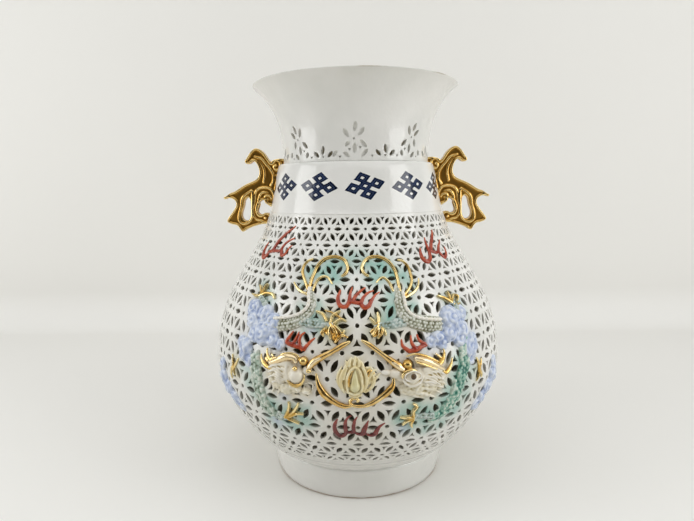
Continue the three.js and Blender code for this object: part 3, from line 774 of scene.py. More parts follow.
# %% The drawing of the flowers
SHORT, MEDIUM, LONG = 4.4, 5.6, 6.8
flower_petals = [(-2.3, 7.0, LONG, -24), (2.8, 4.6, LONG, 12), (-5.2, 3.2, LONG, -46),
                 (-3.6, -3.8, MEDIUM, 8), (7.0, -4.1, LONG, -46), (1.8, -7.8, LONG, -6),
                 (-9.2, -10.7, SHORT, 13), (-1.8, -12.2, MEDIUM, -45), (8.8, -11.2, SHORT, 14),
                 (17.0, -11.2, MEDIUM, -43), (22.2, -8.5, LONG, 8), (27.6, -11.2, MEDIUM, 43)]
flower_wedges = [(5.9, -8.3), (-6.3, -13.3), (12.9, -13.0), (22.4, -13.0)]
front_petals = [(0.8, 8.2, LONG, 6), (5.0, 4.6, LONG, 36), (6.6, -3.6, LONG, -44), (0.4, -6.4, LONG, 3),
                (-4.6, -3.6, SHORT, 40), (-5.4, 3.8, LONG, -30), (7.3, -9.7, LONG, 40),
                (-5.2, -10.8, MEDIUM, -52), (-13.6, -10.1, MEDIUM, 40)]
front_wedges = [(4.3, -5.9), (-3.2, -7.3), (-9.9, -12.2), (12.6, -11.8)]

# %% Cutting the flowers
FLOWERS = 8
FRONT = radians(-1)
THROUGH, PART_OF_THE_WAY = 6.5, 1.8
petals = {length: make_blade(length, 2.9) for length in (SHORT, MEDIUM, LONG)}
eye, wedge = make_blade(1.6, 1.6, 10), make_blade(2.4, 2.6, 3)
blades = []
for number in range(FLOWERS):
    middle = FRONT + number * 2 * pi / FLOWERS
    mirror = -1 if number in (1, 2, 3) else 1
    depth, height = THROUGH, 262.8 + 0.5 * sin(7.0 * number)
    petal_places, wedge_places = flower_petals, flower_wedges
    if number == 0:
        depth, height = PART_OF_THE_WAY, 261.5
        petal_places, wedge_places = front_petals, front_wedges
    blades.append(set_blade(eye, middle, 0, height, 0, depth))
    for aside, rise, length, degrees in petal_places:
        place = (middle, aside * mirror, height + rise, degrees * mirror)
        blades.append(set_blade(petals[length], *place, depth))
    for aside, rise in wedge_places:
        blades.append(set_blade(wedge, middle, aside * mirror, height + rise, 180, depth))
knife = join("knife", blades)
in_edit_mode(knife, bpy.ops.mesh.normals_make_consistent)
modify(mouth, "BOOLEAN", object=knife, operation="DIFFERENCE", solver="EXACT", use_self=True)
for tool in (knife, *petals.values(), eye, wedge):
    bpy.data.objects.remove(tool)
modify(mouth, "BEVEL", width=0.35 * MM, segments=2, limit_method="ANGLE", angle_limit=radians(50),
       use_clamp_overlap=True)
smooth_faces(mouth, 45)
print("mouth corners:", len(mouth.data.vertices))


# %% The glaze of the mouth
def build_mouth_glaze():
    """White glaze with a few brown specks, worn to a dull brown in patches along the lip."""
    material, tree, surface, glaze = new_glaze("mouth_glaze", speck=(96, 80, 60), speck_size=0.05)
    near_lip = ramp(tree, one_axis(tree, "Z"), 0.3041, 0.3049)
    patchy = ramp(tree, cloudy(tree, 34.0, 4.0), 0.5, 0.62)
    worn = math_node(tree, "MULTIPLY", near_lip, patchy)
    tone = mix_colours(tree, worn, glaze.outputs["Color"], colour(176, 160, 138))
    glaze_over(tree, surface, glaze, tone)
    return material


finish_piece(mouth, ["mouth"], "porcelain_glaze", build_mouth_glaze())

# %% [markdown]
# ## The pierced wall
#
# This is the feature that takes a potter the most skill. Thirty-six flowers stand in each ring.
# Every flower is a round eye with six petals, and each petal is shared with the next flower, so
# the whole lattice is one triangle, repeated: its corners are eyes, its sides are half petals, and
# a small hollow-sided triangle is cut from its middle. Cutting a thousand holes with a boolean
# would be slow and rough, so that triangle is laid out, with softened edges, at every place in the
# lattice. The rings keep their heights on the vase, and a slow wander of the points gives the
# unevenness of a hand-cut wall.

# %% The rings of the lattice
COLUMNS = 36
ROW_HEIGHTS = [40.2, 48.0, 59.8, 75.1, 92.5, 108.7, 125.0, 141.2, 155.9, 168.4, 179.6, 189.5, 200.2, 210.3]
SEAM_ROW = 4
COLUMN = BENCH * 2 * pi / COLUMNS
row_levels = [on_bench(0, height)[1] for height in ROW_HEIGHTS]
bottom_level, top_level = row_levels[0], row_levels[-1]


def uneven(x, y, seed):
    """A steady wander between -1 and 1 that closes on itself round the vase."""
    angle = x / BENCH
    return noise.noise(Vector((cos(angle) * 9, sin(angle) * 9, y * 0.09 + seed * 7.7))) * 1.6


def corner_of(column, row):
    """A vertex of the lattice. Rows are shifted by half a column in turn."""
    return np.array([(column + (0 if row % 2 else 0.5)) * COLUMN, row_levels[row]])


def on_border(level):
    """Whether a level is the lower or the upper edge of the pierced wall."""
    return min(abs(level - top_level), abs(level - bottom_level)) < 1e-6


print("column on the bench in mm:", round(COLUMN, 2))

# %% [markdown]
# The outline of a triangle goes round its three sides. A side starts at an eye, follows the bar
# to the tip of the half petal, goes round the petal in five points, and follows the bar to the
# next eye. Each outline has a second one beside it, a little further into the clay, and the
# surface bends down from that one to the edge of the hole. A side on the border of the wall is
# straight and uncut.


# %% The sides of one triangle
EYE, PETAL_LONG, PETAL_WIDE, SOFT = 1.3, 0.46, 0.1, 0.26
PETAL_STEPS = (0.1, 0.28, 0.5, 0.72, 0.9)


def straight_side(start, end):
    """An uncut side on the border: the outline, its softened copy and where it has walls."""
    line = [start] + [start + (end - start) * share for share in np.linspace(0.08, 0.92, 9)]
    return line, line, [True] * len(line)


def petal_side(start, end, before):
    """A side with its half petal: the outline, its softened copy and where it has walls."""
    edge, middle = end - start, (start + end) / 2
    length = np.linalg.norm(edge)
    along = edge / length
    inwards = np.array([-along[1], along[0]])
    reach = length * (PETAL_LONG + 0.05 * uneven(*middle, 1))
    wide = length * (PETAL_WIDE + 0.012 * uneven(*middle, 2))
    tip = (length - reach) / 2
    eyes = [0 if on_border(point[1]) else EYE * (1 + 0.16 * uneven(*point, 3)) for point in (start, end)]
    softs = [SOFT if eye else 0 for eye in eyes]
    backwards = before - start
    bisector = along + backwards / np.linalg.norm(backwards)
    bisector /= np.linalg.norm(bisector)
    outline = [start + bisector * eyes[0], start + along * eyes[0], start + along * tip]
    soft = [start + bisector * (eyes[0] + softs[0]), start + along * (eyes[0] + softs[0]),
            start + along * (tip - SOFT)]
    for share in PETAL_STEPS:
        bulge = wide * (1 - abs(2 * share - 1) ** 2.1)
        point = start + along * (tip + reach * share) + inwards * bulge
        tilt = (0.5 - share) * 1.1
        push = inwards - along * tilt
        outline.append(point)
        soft.append(point + push / np.linalg.norm(push) * SOFT)
    outline += [end - along * tip, end - along * eyes[1]]
    soft += [end - along * (tip - SOFT), end - along * (eyes[1] + softs[1])]
    walls = [bool(eyes[0]), False] + [True] * 6 + [False, bool(eyes[1])]
    return outline, soft, walls


# %% The hole in one triangle
HOLE, HOLE_HOLLOW = 0.165, 0.34
CORNER_SHARE = 0.577
HOLE_STEPS = (0.0, 0.16, 0.38, 0.62, 0.84)


def hollow_triangle(corners):
    """The small hole in the middle of a triangle, and its softened copy."""
    hole, soft_hole = [], []
    centre = sum(corners) / 3
    size = HOLE + 0.02 * uneven(*centre, 4)
    small = [centre + (corner - centre) * size / CORNER_SHARE for corner in corners]
    for first, second in zip(small, small[1:] + small[:1]):
        for share in HOLE_STEPS:
            point = first + (second - first) * share
            point = point + (centre - point) * HOLE_HOLLOW * (1 - abs(2 * share - 1) ** 2)
            point = centre + (point - centre) * (0.9 if share == 0 else 1)
            away = point - centre
            hole.append(point)
            soft_hole.append(point + away / np.linalg.norm(away) * SOFT * 0.8)
    return hole, soft_hole


# %% The faces of one triangle
EDGE_DROP = 0.24
SIDE_POINTS, HOLE_POINTS = 10, 5


def add_panel(points, faces, corners, border_side=None, seam_side=None):
    """Adds one triangle of the lattice to the lists of points and faces."""
    outline, soft, walls = [], [], []
    for side in range(3):
        start, end, before = corners[side], corners[(side + 1) % 3], corners[(side + 2) % 3]
        parts = straight_side(start, end) if side == border_side else petal_side(start, end, before)
        for whole, part in zip((outline, soft, walls), parts):
            whole.extend(part)
    hole, soft_hole = hollow_triangle(corners)
    starts = []
    for ring, level in ((soft, 0), (outline, -EDGE_DROP), (outline, -WALL),
                        (soft_hole, 0), (hole, -EDGE_DROP), (hole, -WALL)):
        starts.append(len(points))
        points.extend((x, y, level) for x, y in ring)
    upper, rim, under, hole_upper, hole_rim, hole_under = starts
    around, hole_around = 3 * SIDE_POINTS, 3 * HOLE_POINTS
    for index in range(hole_around):
        following = (index + 1) % hole_around
        a, b, c = 2 * index, 2 * index + 1, (2 * index + 2) % around
        faces.append((upper + a, upper + b, upper + c, hole_upper + following, hole_upper + index))
        faces.append((under + c, under + b, under + a, hole_under + index, hole_under + following))
        faces.append((hole_upper + index, hole_upper + following, hole_rim + following, hole_rim + index))
        faces.append((hole_rim + index, hole_rim + following, hole_under + following, hole_under + index))
    for index in range(around):
        following = (index + 1) % around
        if walls[index]:
            faces.append((upper + following, upper + index, rim + index, rim + following))
            faces.append((rim + following, rim + index, under + index, under + following))
    if seam_side is not None:
        for a in (SIDE_POINTS * seam_side + 1, SIDE_POINTS * seam_side + 8):
            b = (a + 1) % around
            faces.append((upper + b, upper + a, rim + a, under + a, under + b, rim + b))


# %% [markdown]
# Every place between two rings has one triangle that points up and one that points down. The
# triangles are laid side by side on the bench, wandered, bent on the wall and merged where they
# meet. At the seam between the lower and the upper wall the cut faces are closed.


# %% The two walls
def build_pierced_wall(name, from_row, to_row):
    """All the triangles between two rows as one wall."""
    points, faces = [], []
    for row in range(from_row, to_row):
        shift = 0 if row % 2 else 1
        low, high = row == 0, row == len(ROW_HEIGHTS) - 2
        for column in range(COLUMNS):
            left_low, right_low = corner_of(column, row), corner_of(column + 1, row)
            left_high, right_high = corner_of(column + shift, row + 1), corner_of(column + shift + 1, row + 1)
            add_panel(points, faces, [left_low, right_low, left_high], 0 if low else None,
                      0 if row == from_row and not low else None)
            add_panel(points, faces, [right_low, right_high, left_high], 1 if high else None,
                      1 if row == to_row - 1 and not high else None)
    flat = np.array(points)
    wander = np.array([[uneven(x, y * 1.3, 5), uneven(x, y * 1.3, 6)] for x, y, _ in points]) * 0.28
    inner_rows = (flat[:, 1] > bottom_level + 1) & (flat[:, 1] < top_level - 1)
    flat[inner_rows, :2] += wander[inner_rows]
    mesh = bpy.data.meshes.new(name)
    mesh.from_pydata(bend_on_wall(flat, true_lift=True).tolist(), [], faces)
    wall = bpy.data.objects.new(name, mesh)
    bpy.context.scene.collection.objects.link(wall)
    in_edit_mode(wall, lambda: bpy.ops.mesh.remove_doubles(threshold=2e-5),
                 lambda: bpy.ops.mesh.dissolve_degenerate(threshold=1e-5),
                 select_all, bpy.ops.mesh.normals_make_consistent)
    print(name, "faces:", len(mesh.polygons))
    return wall


lower_wall = build_pierced_wall("lower_pierced_wall_lattice", 0, SEAM_ROW)
upper_wall = build_pierced_wall("upper_pierced_wall_lattice", SEAM_ROW, len(ROW_HEIGHTS) - 1)

# %% [markdown]
# ## How the relief is modelled
#
# A roll of clay is a curve with a round section whose thickness changes along it; `rolls` makes
# several at once and turns them into a mesh. `pads` sets down squashed spheres. `melt` joins them
# into one skin with a voxel remesh and smooths the joins, as a wet brush does, which is why
# separate strokes end up as one piece of clay. Places are an angle from the middle of the front
# and a height.


# %% Rolls and pads
def smooth_line(places, per=7):
    """Points of a smooth curve through places, close together."""
    places = np.array(places, float)
    ends = np.vstack([2 * places[0] - places[1], places, 2 * places[-1] - places[-2]])
    line = []
    for a, b, c, d in zip(ends[:-3], ends[1:-2], ends[2:-1], ends[3:]):
        for t in np.linspace(0, 1, per, endpoint=False):
            bend = (2 * a - 5 * b + 4 * c - d) * t**2
            line.append(0.5 * (2 * b + (c - a) * t + bend + (3 * b - a - 3 * c + d) * t**3))
    return np.array([*line, places[-1]])


def measure_share(line):
    """How far along a line each point is, from 0 to 1."""
    steps = np.concatenate([[0], np.cumsum(np.linalg.norm(np.diff(line, axis=0), axis=1))])
    return steps / steps[-1]


def rolls(strokes, flatten=1.0, flat_drawing=False):
    """Rolls of clay along strokes. A stroke is its places, its half thicknesses and its lift."""
    bpy.ops.curve.primitive_nurbs_path_add()
    piece = bpy.context.object
    curve = piece.data
    curve.splines.clear()
    for places, thickness, *lift in strokes:
        lift = np.atleast_1d(lift[0] if lift else 0.0)
        line = smooth_line(places if flat_drawing else [on_bench(*place) for place in places])
        share = measure_share(line)
        radius = np.interp(share, np.linspace(0, 1, len(thickness)), thickness)
        height = np.interp(share, np.linspace(0, 1, len(lift)), lift)
        local = 1.0 if flat_drawing else scale_at(line[:, 1])
        spline = curve.splines.new("POLY")
        spline.points.add(len(line) - 1)
        packed = np.column_stack([line, height / local / flatten, np.ones(len(line))])
        spline.points.foreach_set("co", packed.ravel())
        spline.points.foreach_set("radius", radius / local)
    curve.bevel_depth = 1.0
    curve.bevel_resolution = 2
    curve.use_fill_caps = True
    only(piece)
    bpy.ops.object.convert(target="MESH")
    return move_points(piece, points_of(piece) * (1, 1, flatten))


def pads(spots):
    """Squashed spheres. A spot is its place, half width, half height, rise and lift."""
    pieces = []
    for degrees, height, half_width, half_height, rise, *lift in spots:
        x, y = on_bench(degrees, height)
        local = float(scale_at(y))
        bpy.ops.mesh.primitive_uv_sphere_add(segments=24, ring_count=14, radius=1)
        pad = bpy.context.object
        size = np.array([half_width, half_height, rise]) / local
        move_points(pad, points_of(pad) * size + (x, y, (lift[0] if lift else 0) / local))
        pieces.append(pad)
    return pieces


def melt(name, parts, voxel=0.5, soften=3):
    """Joins parts into one skin of even faces and softens it."""
    piece = join(name, parts)
    modify(piece, "REMESH", mode="VOXEL", voxel_size=voxel)
    modify(piece, "SMOOTH", factor=0.5, iterations=soften)
    return piece


# %% [markdown]
# A finished piece of relief is pressed: its back is cut flat just under the surface of the wall,
# its crests and grooves are measured for the enamel, and it is bent on the wall. The back of the
# vase carries the same relief, pressed in the same moulds, so a front piece is copied with its
# own mesh and turned half round.


# %% Crests and grooves
def neighbour_mean(points, edges, count):
    """The mean of each corner's neighbours."""
    total = np.zeros_like(points)
    for axis in range(points.shape[1]):
        for one, other in ((0, 1), (1, 0)):
            weights = points[edges[:, other], axis]
            total[:, axis] += np.bincount(edges[:, one], weights=weights, minlength=count)
    degree = np.bincount(edges.ravel(), minlength=count)
    return total / np.maximum(degree, 1)[:, None]


def mark_crests(piece, depth, rounds=10):
    """Stores 1 on ridges, 0 in grooves and 0.5 on plain ground."""
    count = len(piece.data.vertices)
    edges = np.empty(len(piece.data.edges) * 2, np.int32)
    piece.data.edges.foreach_get("vertices", edges)
    edges = edges.reshape(-1, 2)
    points = points_of(piece)
    soft = points
    for _ in range(rounds):
        soft = 0.4 * soft + 0.6 * neighbour_mean(soft, edges, count)
    out = ((points - soft) * normals_of(piece)).sum(1)
    mark(piece, "crest", np.clip(0.5 + out / (2 * depth), 0, 1))


# %% Pressing, and sticking on
BACK_OF_RELIEF = -0.3
CREST = 0.3


def press(piece, crest_depth):
    """Cuts the back flat, marks the crests and bends the piece on the wall."""
    in_edit_mode(piece, lambda: bpy.ops.mesh.bisect(plane_co=(0, 0, BACK_OF_RELIEF), plane_no=(0, 0, 1),
                                                    use_fill=True, clear_inner=True))
    mark_crests(piece, crest_depth)
    return move_points(piece, bend_on_wall(points_of(piece)))


def half_turned(piece):
    """A copy of a piece, turned half round the vase."""
    twin = copied(piece)
    return move_points(twin, points_of(twin) * (-1, -1, 1))


def stick_on(piece, node, finish, crest_depth=CREST):
    """Presses a piece of relief and sticks it on the front, and its copy on the back."""
    press(piece, crest_depth)
    smooth_faces(piece, 60)
    label = piece.name
    twin = half_turned(piece)
    for face, copy in (("front", piece), ("back", twin)):
        copy.name = f"{face}_{label}"
        finish_piece(copy, [f"{face}_{node}"], *finishes[finish])


print("relief is cut off", -BACK_OF_RELIEF, "mm under the surface of the wall")

# %% [markdown]
# ## The two dragons, stroke by stroke
#
# These lists are the drawing of the relief: where each stroke of clay runs and how thick it is.
# The two dragons come from different moulds. A place is an angle in degrees and a height in
# millimetres; a thickness is half the width of a roll, and a lift is how far it stands out.

# %% The drawing of the left dragon
left = {
    "tail": [
        ([(-19.5, 160), (-19.4, 167.3), (-18.7, 172.1), (-17.6, 176.8), (-14.8, 180.8), (-10.4, 182.2),
          (-6.3, 180.9), (-4.3, 177.7), (-4, 174.4), (-4.9, 171.6), (-6.5, 170.2)],
         (1.5, 1.5, 1.6, 1.5, 1.2)),
        ([(-19.5, 160.5), (-22, 166.2), (-24.1, 170.7), (-24.8, 174), (-24.4, 176.9), (-23, 179.2),
          (-20.7, 180.5)], (1.3, 1.3, 1.3, 0.9)),
        ([(-17.9, 160.5), (-17.3, 165.2), (-16.3, 168), (-14.5, 169.9), (-12.4, 169.6), (-10.9, 167.3),
          (-10, 165.5)], (1.1, 1.2, 1.1, 0.8)),
        ([(-19, 158.5), (-21.9, 159.8), (-24.3, 161.4), (-26, 163.5), (-27.4, 165.5)], (1.1, 1.2, 1, 0.8))],
    "body": (
        [(-18.9, 163.4), (-17.9, 157.4), (-17.1, 153.8), (-17.4, 150.6), (-18.4, 147.3), (-20.4, 144),
         (-23.4, 141.4), (-28.5, 139.4), (-34, 137.8)], (1.6, 2.8, 4, 4.8, 5.6)),
    "spine": [
        (-19.3, 163), (-18.9, 157.8), (-18.2, 154.6), (-18.3, 151.9), (-19.2, 149.1), (-21.4, 146.3),
        (-24.3, 144.5), (-27.4, 143.3), (-31, 142.2)],
    "hind_leg": [
        ([(-21, 143.6), (-15.4, 141.8), (-11, 141.6)], (3.8, 3.4, 2.2), 0.2),
        ([(-10.6, 143.6), (-12.4, 147.7), (-15.2, 149.2)], (1.1, 1, 0.6), 1),
        ([(-9.3, 142.4), (-8.6, 147.2), (-5.9, 149.9)], (1, 0.9, 0.5), 1),
        ([(-8.4, 142), (-6, 144.8), (-3.6, 143.8)], (1, 0.9, 0.5), 1),
        ([(-7.9, 141.2), (-6, 138.3), (-5.1, 136.3), (-4.3, 138.9)], (1.1, 1, 0.9, 0.5), 1),
        ([(-9.2, 140.8), (-9.5, 137.4), (-8.9, 132.9)], (1.1, 1, 0.6), 1),
        ([(-10.4, 140.6), (-11.8, 137.4), (-11.4, 134.4)], (1.1, 1, 0.6), 1)],
    "raised_claw": [
        ([(-36.5, 149), (-39.3, 151.9), (-42, 154.3)], (2.4, 2, 1.6), 2),
        ([(-42, 154.3), (-44.9, 153.9), (-47.6, 154.3)], (1.3, 1.2, 0.7), 1.6),
        ([(-41.5, 154.4), (-42.8, 157.6), (-45, 160.8)], (1.3, 1.2, 0.7), 1.6),
        ([(-41.7, 154.8), (-39, 156.6), (-35.8, 156.4), (-34, 154)], (1.3, 1.2, 1.1, 0.7), 1.6),
        ([(-41.3, 156.4), (-41.2, 160.2), (-40.4, 162.4)], (1.2, 1.1, 0.7), 1.6)],
    "neck": (
        [(-38.4, 119), (-37.2, 115), (-37.2, 110.8), (-36.9, 105.8), (-36.4, 100.7), (-35.8, 96.1),
         (-34.8, 89.7), (-33.2, 83.9), (-30.4, 79.6), (-26.8, 77.4)], (4.8, 4.8, 4.9, 4.9, 4.6, 4, 3)),
    "fore_leg": [
        ([(-29.2, 79.4), (-28, 78.3), (-25.8, 78.9)], (3, 2.6, 2), 0.8),
        ([(-25.8, 78.7), (-23.9, 84.3), (-23.2, 89.1), (-23.4, 91.4)], (1.4, 1.3, 0.8), 1),
        ([(-25.1, 79), (-22.2, 83.7), (-20.4, 88.3), (-19.6, 91.6)], (1.4, 1.3, 0.8), 1),
        ([(-23.8, 80.2), (-20.8, 83.3), (-18.2, 83.8)], (1.4, 1.2, 0.8), 1),
        ([(-24.5, 78.6), (-22.3, 77), (-20.4, 75.7)], (1.3, 1.2, 0.8), 1)],
    "tuft": [
        ([(-51.4, 112.6), (-50.7, 108), (-50.3, 102.7), (-49.4, 98)], (0.6, 1, 1.2, 0.6), 0.4),
        ([(-47, 111.4), (-48.6, 106.8), (-50.1, 102.9)], (0.6, 1, 0.9), 0.4),
        ([(-51.9, 103.6), (-52.2, 98.6), (-51.6, 94.6)], (0.6, 0.9, 0.5), 0.3)],
    "big_cloud": [
        (-42.8, 146.3, 7.6, 7.6, 6.2), (-41.2, 139.2, 7.2, 7.2, 6.4), (-36.6, 144.4, 6.6, 6.8, 6),
        (-31.4, 139.4, 7, 7.2, 5.6), (-35, 132.4, 8.6, 8.6, 7), (-39.6, 131.2, 6, 6.4, 5.4),
        (-30.6, 129.6, 5.2, 5.6, 4.6), (-27.2, 126.9, 4, 4.4, 3.4)],
    "round_cloud": [(-42.9, 119.4, 7.2, 8.2, 6.2), (-46, 123.2, 4.6, 4.8, 4.4), (-40.8, 113.4, 4.4, 5.4, 4)],
    "side_cloud": [
        (-60.6, 99.6, 5.2, 6.4, 4.8), (-59.6, 91.6, 6.4, 6.8, 5.8), (-56.6, 84.6, 6.4, 6.6, 5.6),
        (-53, 78.2, 6.2, 6.2, 4.8), (-49.9, 73.8, 4.6, 4.6, 3.6)],
    "upper_flame": [
        ([(-55.9, 188.8), (-56.6, 185.3), (-56.3, 181.5), (-53.8, 178.3), (-51.8, 180.2), (-50.6, 182.5),
          (-47.2, 183.8)], (0.7, 1.5, 2, 2.4, 2, 1.8, 1.8)),
        ([(-48.4, 182.9), (-47.2, 187.5), (-46, 190.7), (-43.6, 194), (-41, 197.1), (-38.3, 199.5),
          (-36.3, 201.6)], (1.9, 2, 1.8, 1.6, 1.3, 0.7)),
        ([(-47.2, 183.8), (-43.5, 184), (-41, 184.6)], (1.7, 1.5, 1.3)),
        ([(-39.9, 180.9), (-41.4, 185), (-40.9, 187.8), (-39, 190.6), (-36.8, 192.2), (-34.8, 193.2)],
         (1.9, 1.6, 1.3, 1.2, 0.7)),
        ([(-39.9, 181), (-38, 182.3), (-37.2, 184.8), (-36.2, 187.1), (-34.9, 188.5)], (1.7, 1.3, 1, 0.6))],
    "middle_flame": [
        ([(-22.7, 136.6), (-24, 132.7), (-24.7, 129.4), (-22.4, 127.8)], (0.7, 1.4, 1.9, 1.9)),
        ([(-20.4, 136.6), (-21.5, 131.3), (-22.4, 128), (-19.8, 127.2)], (0.7, 1.4, 1.7, 1.8)),
        ([(-18.2, 136.6), (-19.7, 134), (-20, 130.6), (-19.6, 127.6), (-18.3, 125.5)],
         (0.7, 1.2, 1.4, 1.7, 2)),
        ([(-18.3, 125.5), (-17.4, 128), (-15.9, 131.2), (-14.4, 133.6)], (1.9, 1.5, 1.2, 0.7))]}

# %% The drawing of the right dragon
right = {
    "tail": [
        ([(17.4, 160), (17.4, 168.4), (17, 173.1), (15.2, 178), (12.3, 181), (8.7, 182.1), (5.4, 181.3),
          (3.2, 178.5), (2.4, 175.2), (3.3, 172), (5.2, 170.1)], (1.5, 1.5, 1.6, 1.5, 1.2)),
        ([(18.2, 157.2), (21.8, 162), (23.7, 166.4), (24, 171.1), (23.5, 175.5), (21.8, 178.5),
          (19.2, 179.6)], (1.3, 1.3, 1.3, 0.9)),
        ([(18.6, 156.4), (20.6, 157.5), (23.8, 159.9), (26.2, 163.3), (27.4, 167.4)], (1.2, 1.2, 1.1, 0.7)),
        ([(14.6, 160.5), (13.9, 164.6), (12.9, 167.4), (11.2, 169.3), (9.3, 168.1), (8, 166.2)],
         (1.1, 1.2, 1, 0.8))],
    "body": (
        [(17.1, 163.4), (16.6, 158), (16.3, 154), (16.5, 150.2), (17.4, 146.4), (19.4, 143.2),
         (22.4, 141.2), (26.4, 139.4), (31, 138.4)], (1.6, 3.6, 5.2, 5.6, 5.6)),
    "spine": [
        (18.2, 160), (18.1, 154.2), (18, 151.1), (18.6, 148.2), (20.1, 145.4), (22.3, 143.6), (25, 142.4),
        (28.2, 141.4), (31, 141)],
    "hind_leg": [
        ([(17.4, 143.2), (13, 141.4), (8.6, 141)], (3.8, 3.2, 2.2), 0.2),
        ([(7.2, 141.6), (7.6, 145.2), (7.4, 149)], (1.1, 1, 0.6), 1),
        ([(6.5, 141.8), (5.4, 144.2), (4.5, 146)], (1, 0.9, 0.5), 1),
        ([(6.6, 140), (5.8, 137.8), (4.9, 135.4)], (1.1, 1, 0.6), 1),
        ([(7.3, 139.8), (7.1, 136.8), (7.1, 133.2)], (1.1, 1, 0.6), 1),
        ([(8, 140.2), (9.3, 137.8), (9.8, 135)], (1.1, 1, 0.6), 1)],
    "raised_claw": [
        ([(39.8, 143.5), (40.2, 147.3), (39.3, 150)], (2.4, 2, 1.6), 2),
        ([(39.2, 149.5), (36.4, 152.9), (33.1, 155.3)], (1.4, 1.3, 0.8), 1.6),
        ([(38.8, 151.1), (39.1, 154.4), (38.9, 156.8)], (1.2, 1.2, 0.7), 1.6),
        ([(39.4, 150.4), (41.6, 153.7), (43.9, 152.6), (42.6, 149.8)], (1.3, 1.2, 1.1, 0.7), 1.6),
        ([(39.4, 149), (41.2, 147.5), (43.6, 148.4)], (1.2, 1.1, 0.7), 1.6)],
    "neck": (
        [(40.2, 128), (40, 120), (39.6, 114), (38.8, 107.4), (37.4, 100.8), (35.8, 94.4), (34.4, 88),
         (32, 82), (28.6, 78.2), (24.6, 77.2)], (4.6, 4.8, 5.2, 5.4, 5.2, 4.6, 3.2)),
    "fore_leg": [
        ([(26.6, 78.6), (24.6, 79.6), (21.9, 80.9), (19.1, 80.9)], (3, 2.6, 2), 0.8),
        ([(19.1, 80.9), (16.3, 81.4), (13.9, 82.1)], (1.4, 1.3, 0.8), 1),
        ([(18.8, 81.6), (18.6, 85.6), (19.6, 88.7), (18.1, 91.2)], (1.4, 1.3, 1.1, 0.8), 1),
        ([(18.9, 80.4), (16.5, 78.5), (15.1, 76)], (1.4, 1.2, 0.8), 1),
        ([(19.1, 80.2), (18.4, 76.2), (19, 72.9)], (1.3, 1.2, 0.8), 1)],
    "tuft": [
        ([(46.4, 111.5), (47.4, 107.6), (47.8, 103.2), (47.4, 98.3), (46.2, 94.7)],
         (0.6, 1, 1.4, 1.3, 0.5), 0.4),
        ([(49.6, 109.4), (48.9, 106), (48, 102.4)], (0.6, 1.1, 0.9), 0.4),
        ([(48.2, 102.5), (49.6, 98.9), (49.8, 95.6)], (0.9, 0.9, 0.5), 0.3)],
    "big_cloud": [
        (36.4, 140.4, 9.2, 9.6, 7.4), (41.6, 142.6, 6.4, 6.6, 5.6), (39.6, 133.2, 7.6, 7.6, 6.2),
        (33.6, 131.8, 6.4, 6.6, 5.6), (28.9, 130.8, 5.6, 5.6, 4.6), (25.8, 128.6, 4, 4.2, 3.4),
        (30.4, 126.6, 4.4, 4.6, 3.8), (38.4, 126.6, 5.6, 5.8, 4.8)],
    "round_cloud": [(43.4, 119.6, 7, 8.2, 6.2), (45.6, 125, 4.6, 5, 4.2), (43, 112.4, 4.6, 5.2, 3.8)],
    "side_cloud": [
        (61, 99.6, 5.2, 6.4, 4.8), (60, 91.6, 6.4, 6.8, 5.8), (57, 84.6, 6.4, 6.6, 5.6),
        (53.4, 78.2, 6, 6.2, 4.8), (50.2, 73.8, 4.4, 4.6, 3.6)],
    "upper_flame": [
        ([(33.9, 186.2), (33, 182.3), (33.2, 178.9), (35.2, 176.9), (37.6, 178.3), (38.6, 181.7),
          (38.8, 185.2), (38.7, 188.6), (39.2, 192.6)], (0.7, 1.6, 2.1, 2.2, 2, 1.8, 1.6, 1.2, 0.7)),
        ([(40, 182.9), (42.4, 187.9), (44.5, 191), (46.2, 193.9), (47.7, 197.2)], (1.9, 2, 1.8, 1.5, 0.7)),
        ([(38.6, 184), (41.1, 182.9), (43.7, 181.9), (46, 182.6)], (1.6, 1.7, 1.7, 1.7)),
        ([(45.6, 182.4), (47.5, 185.5), (49.9, 187.9), (51.2, 189.9)], (1.7, 1.6, 1.2, 0.7)),
        ([(45.8, 182.2), (46.9, 179.6), (49, 178), (51.4, 180.1), (52.4, 182.7), (53, 184.8)],
         (1.6, 1.7, 1.9, 1.5, 1.1, 0.6))],
    "middle_flame": [
        ([(15, 132.6), (15.3, 128.2), (17.5, 124.6)], (0.7, 1.6, 2)),
        ([(18.5, 134.3), (18.6, 129.5), (19.9, 125.4)], (0.7, 1.5, 1.9)),
        ([(20.8, 134.6), (21.6, 130.3), (24.2, 127.2)], (0.7, 1.5, 1.6)),
        ([(17.1, 124.7), (19.9, 125), (22, 126.6), (25, 127.6)], (1.9, 2, 1.8, 1.2))]}

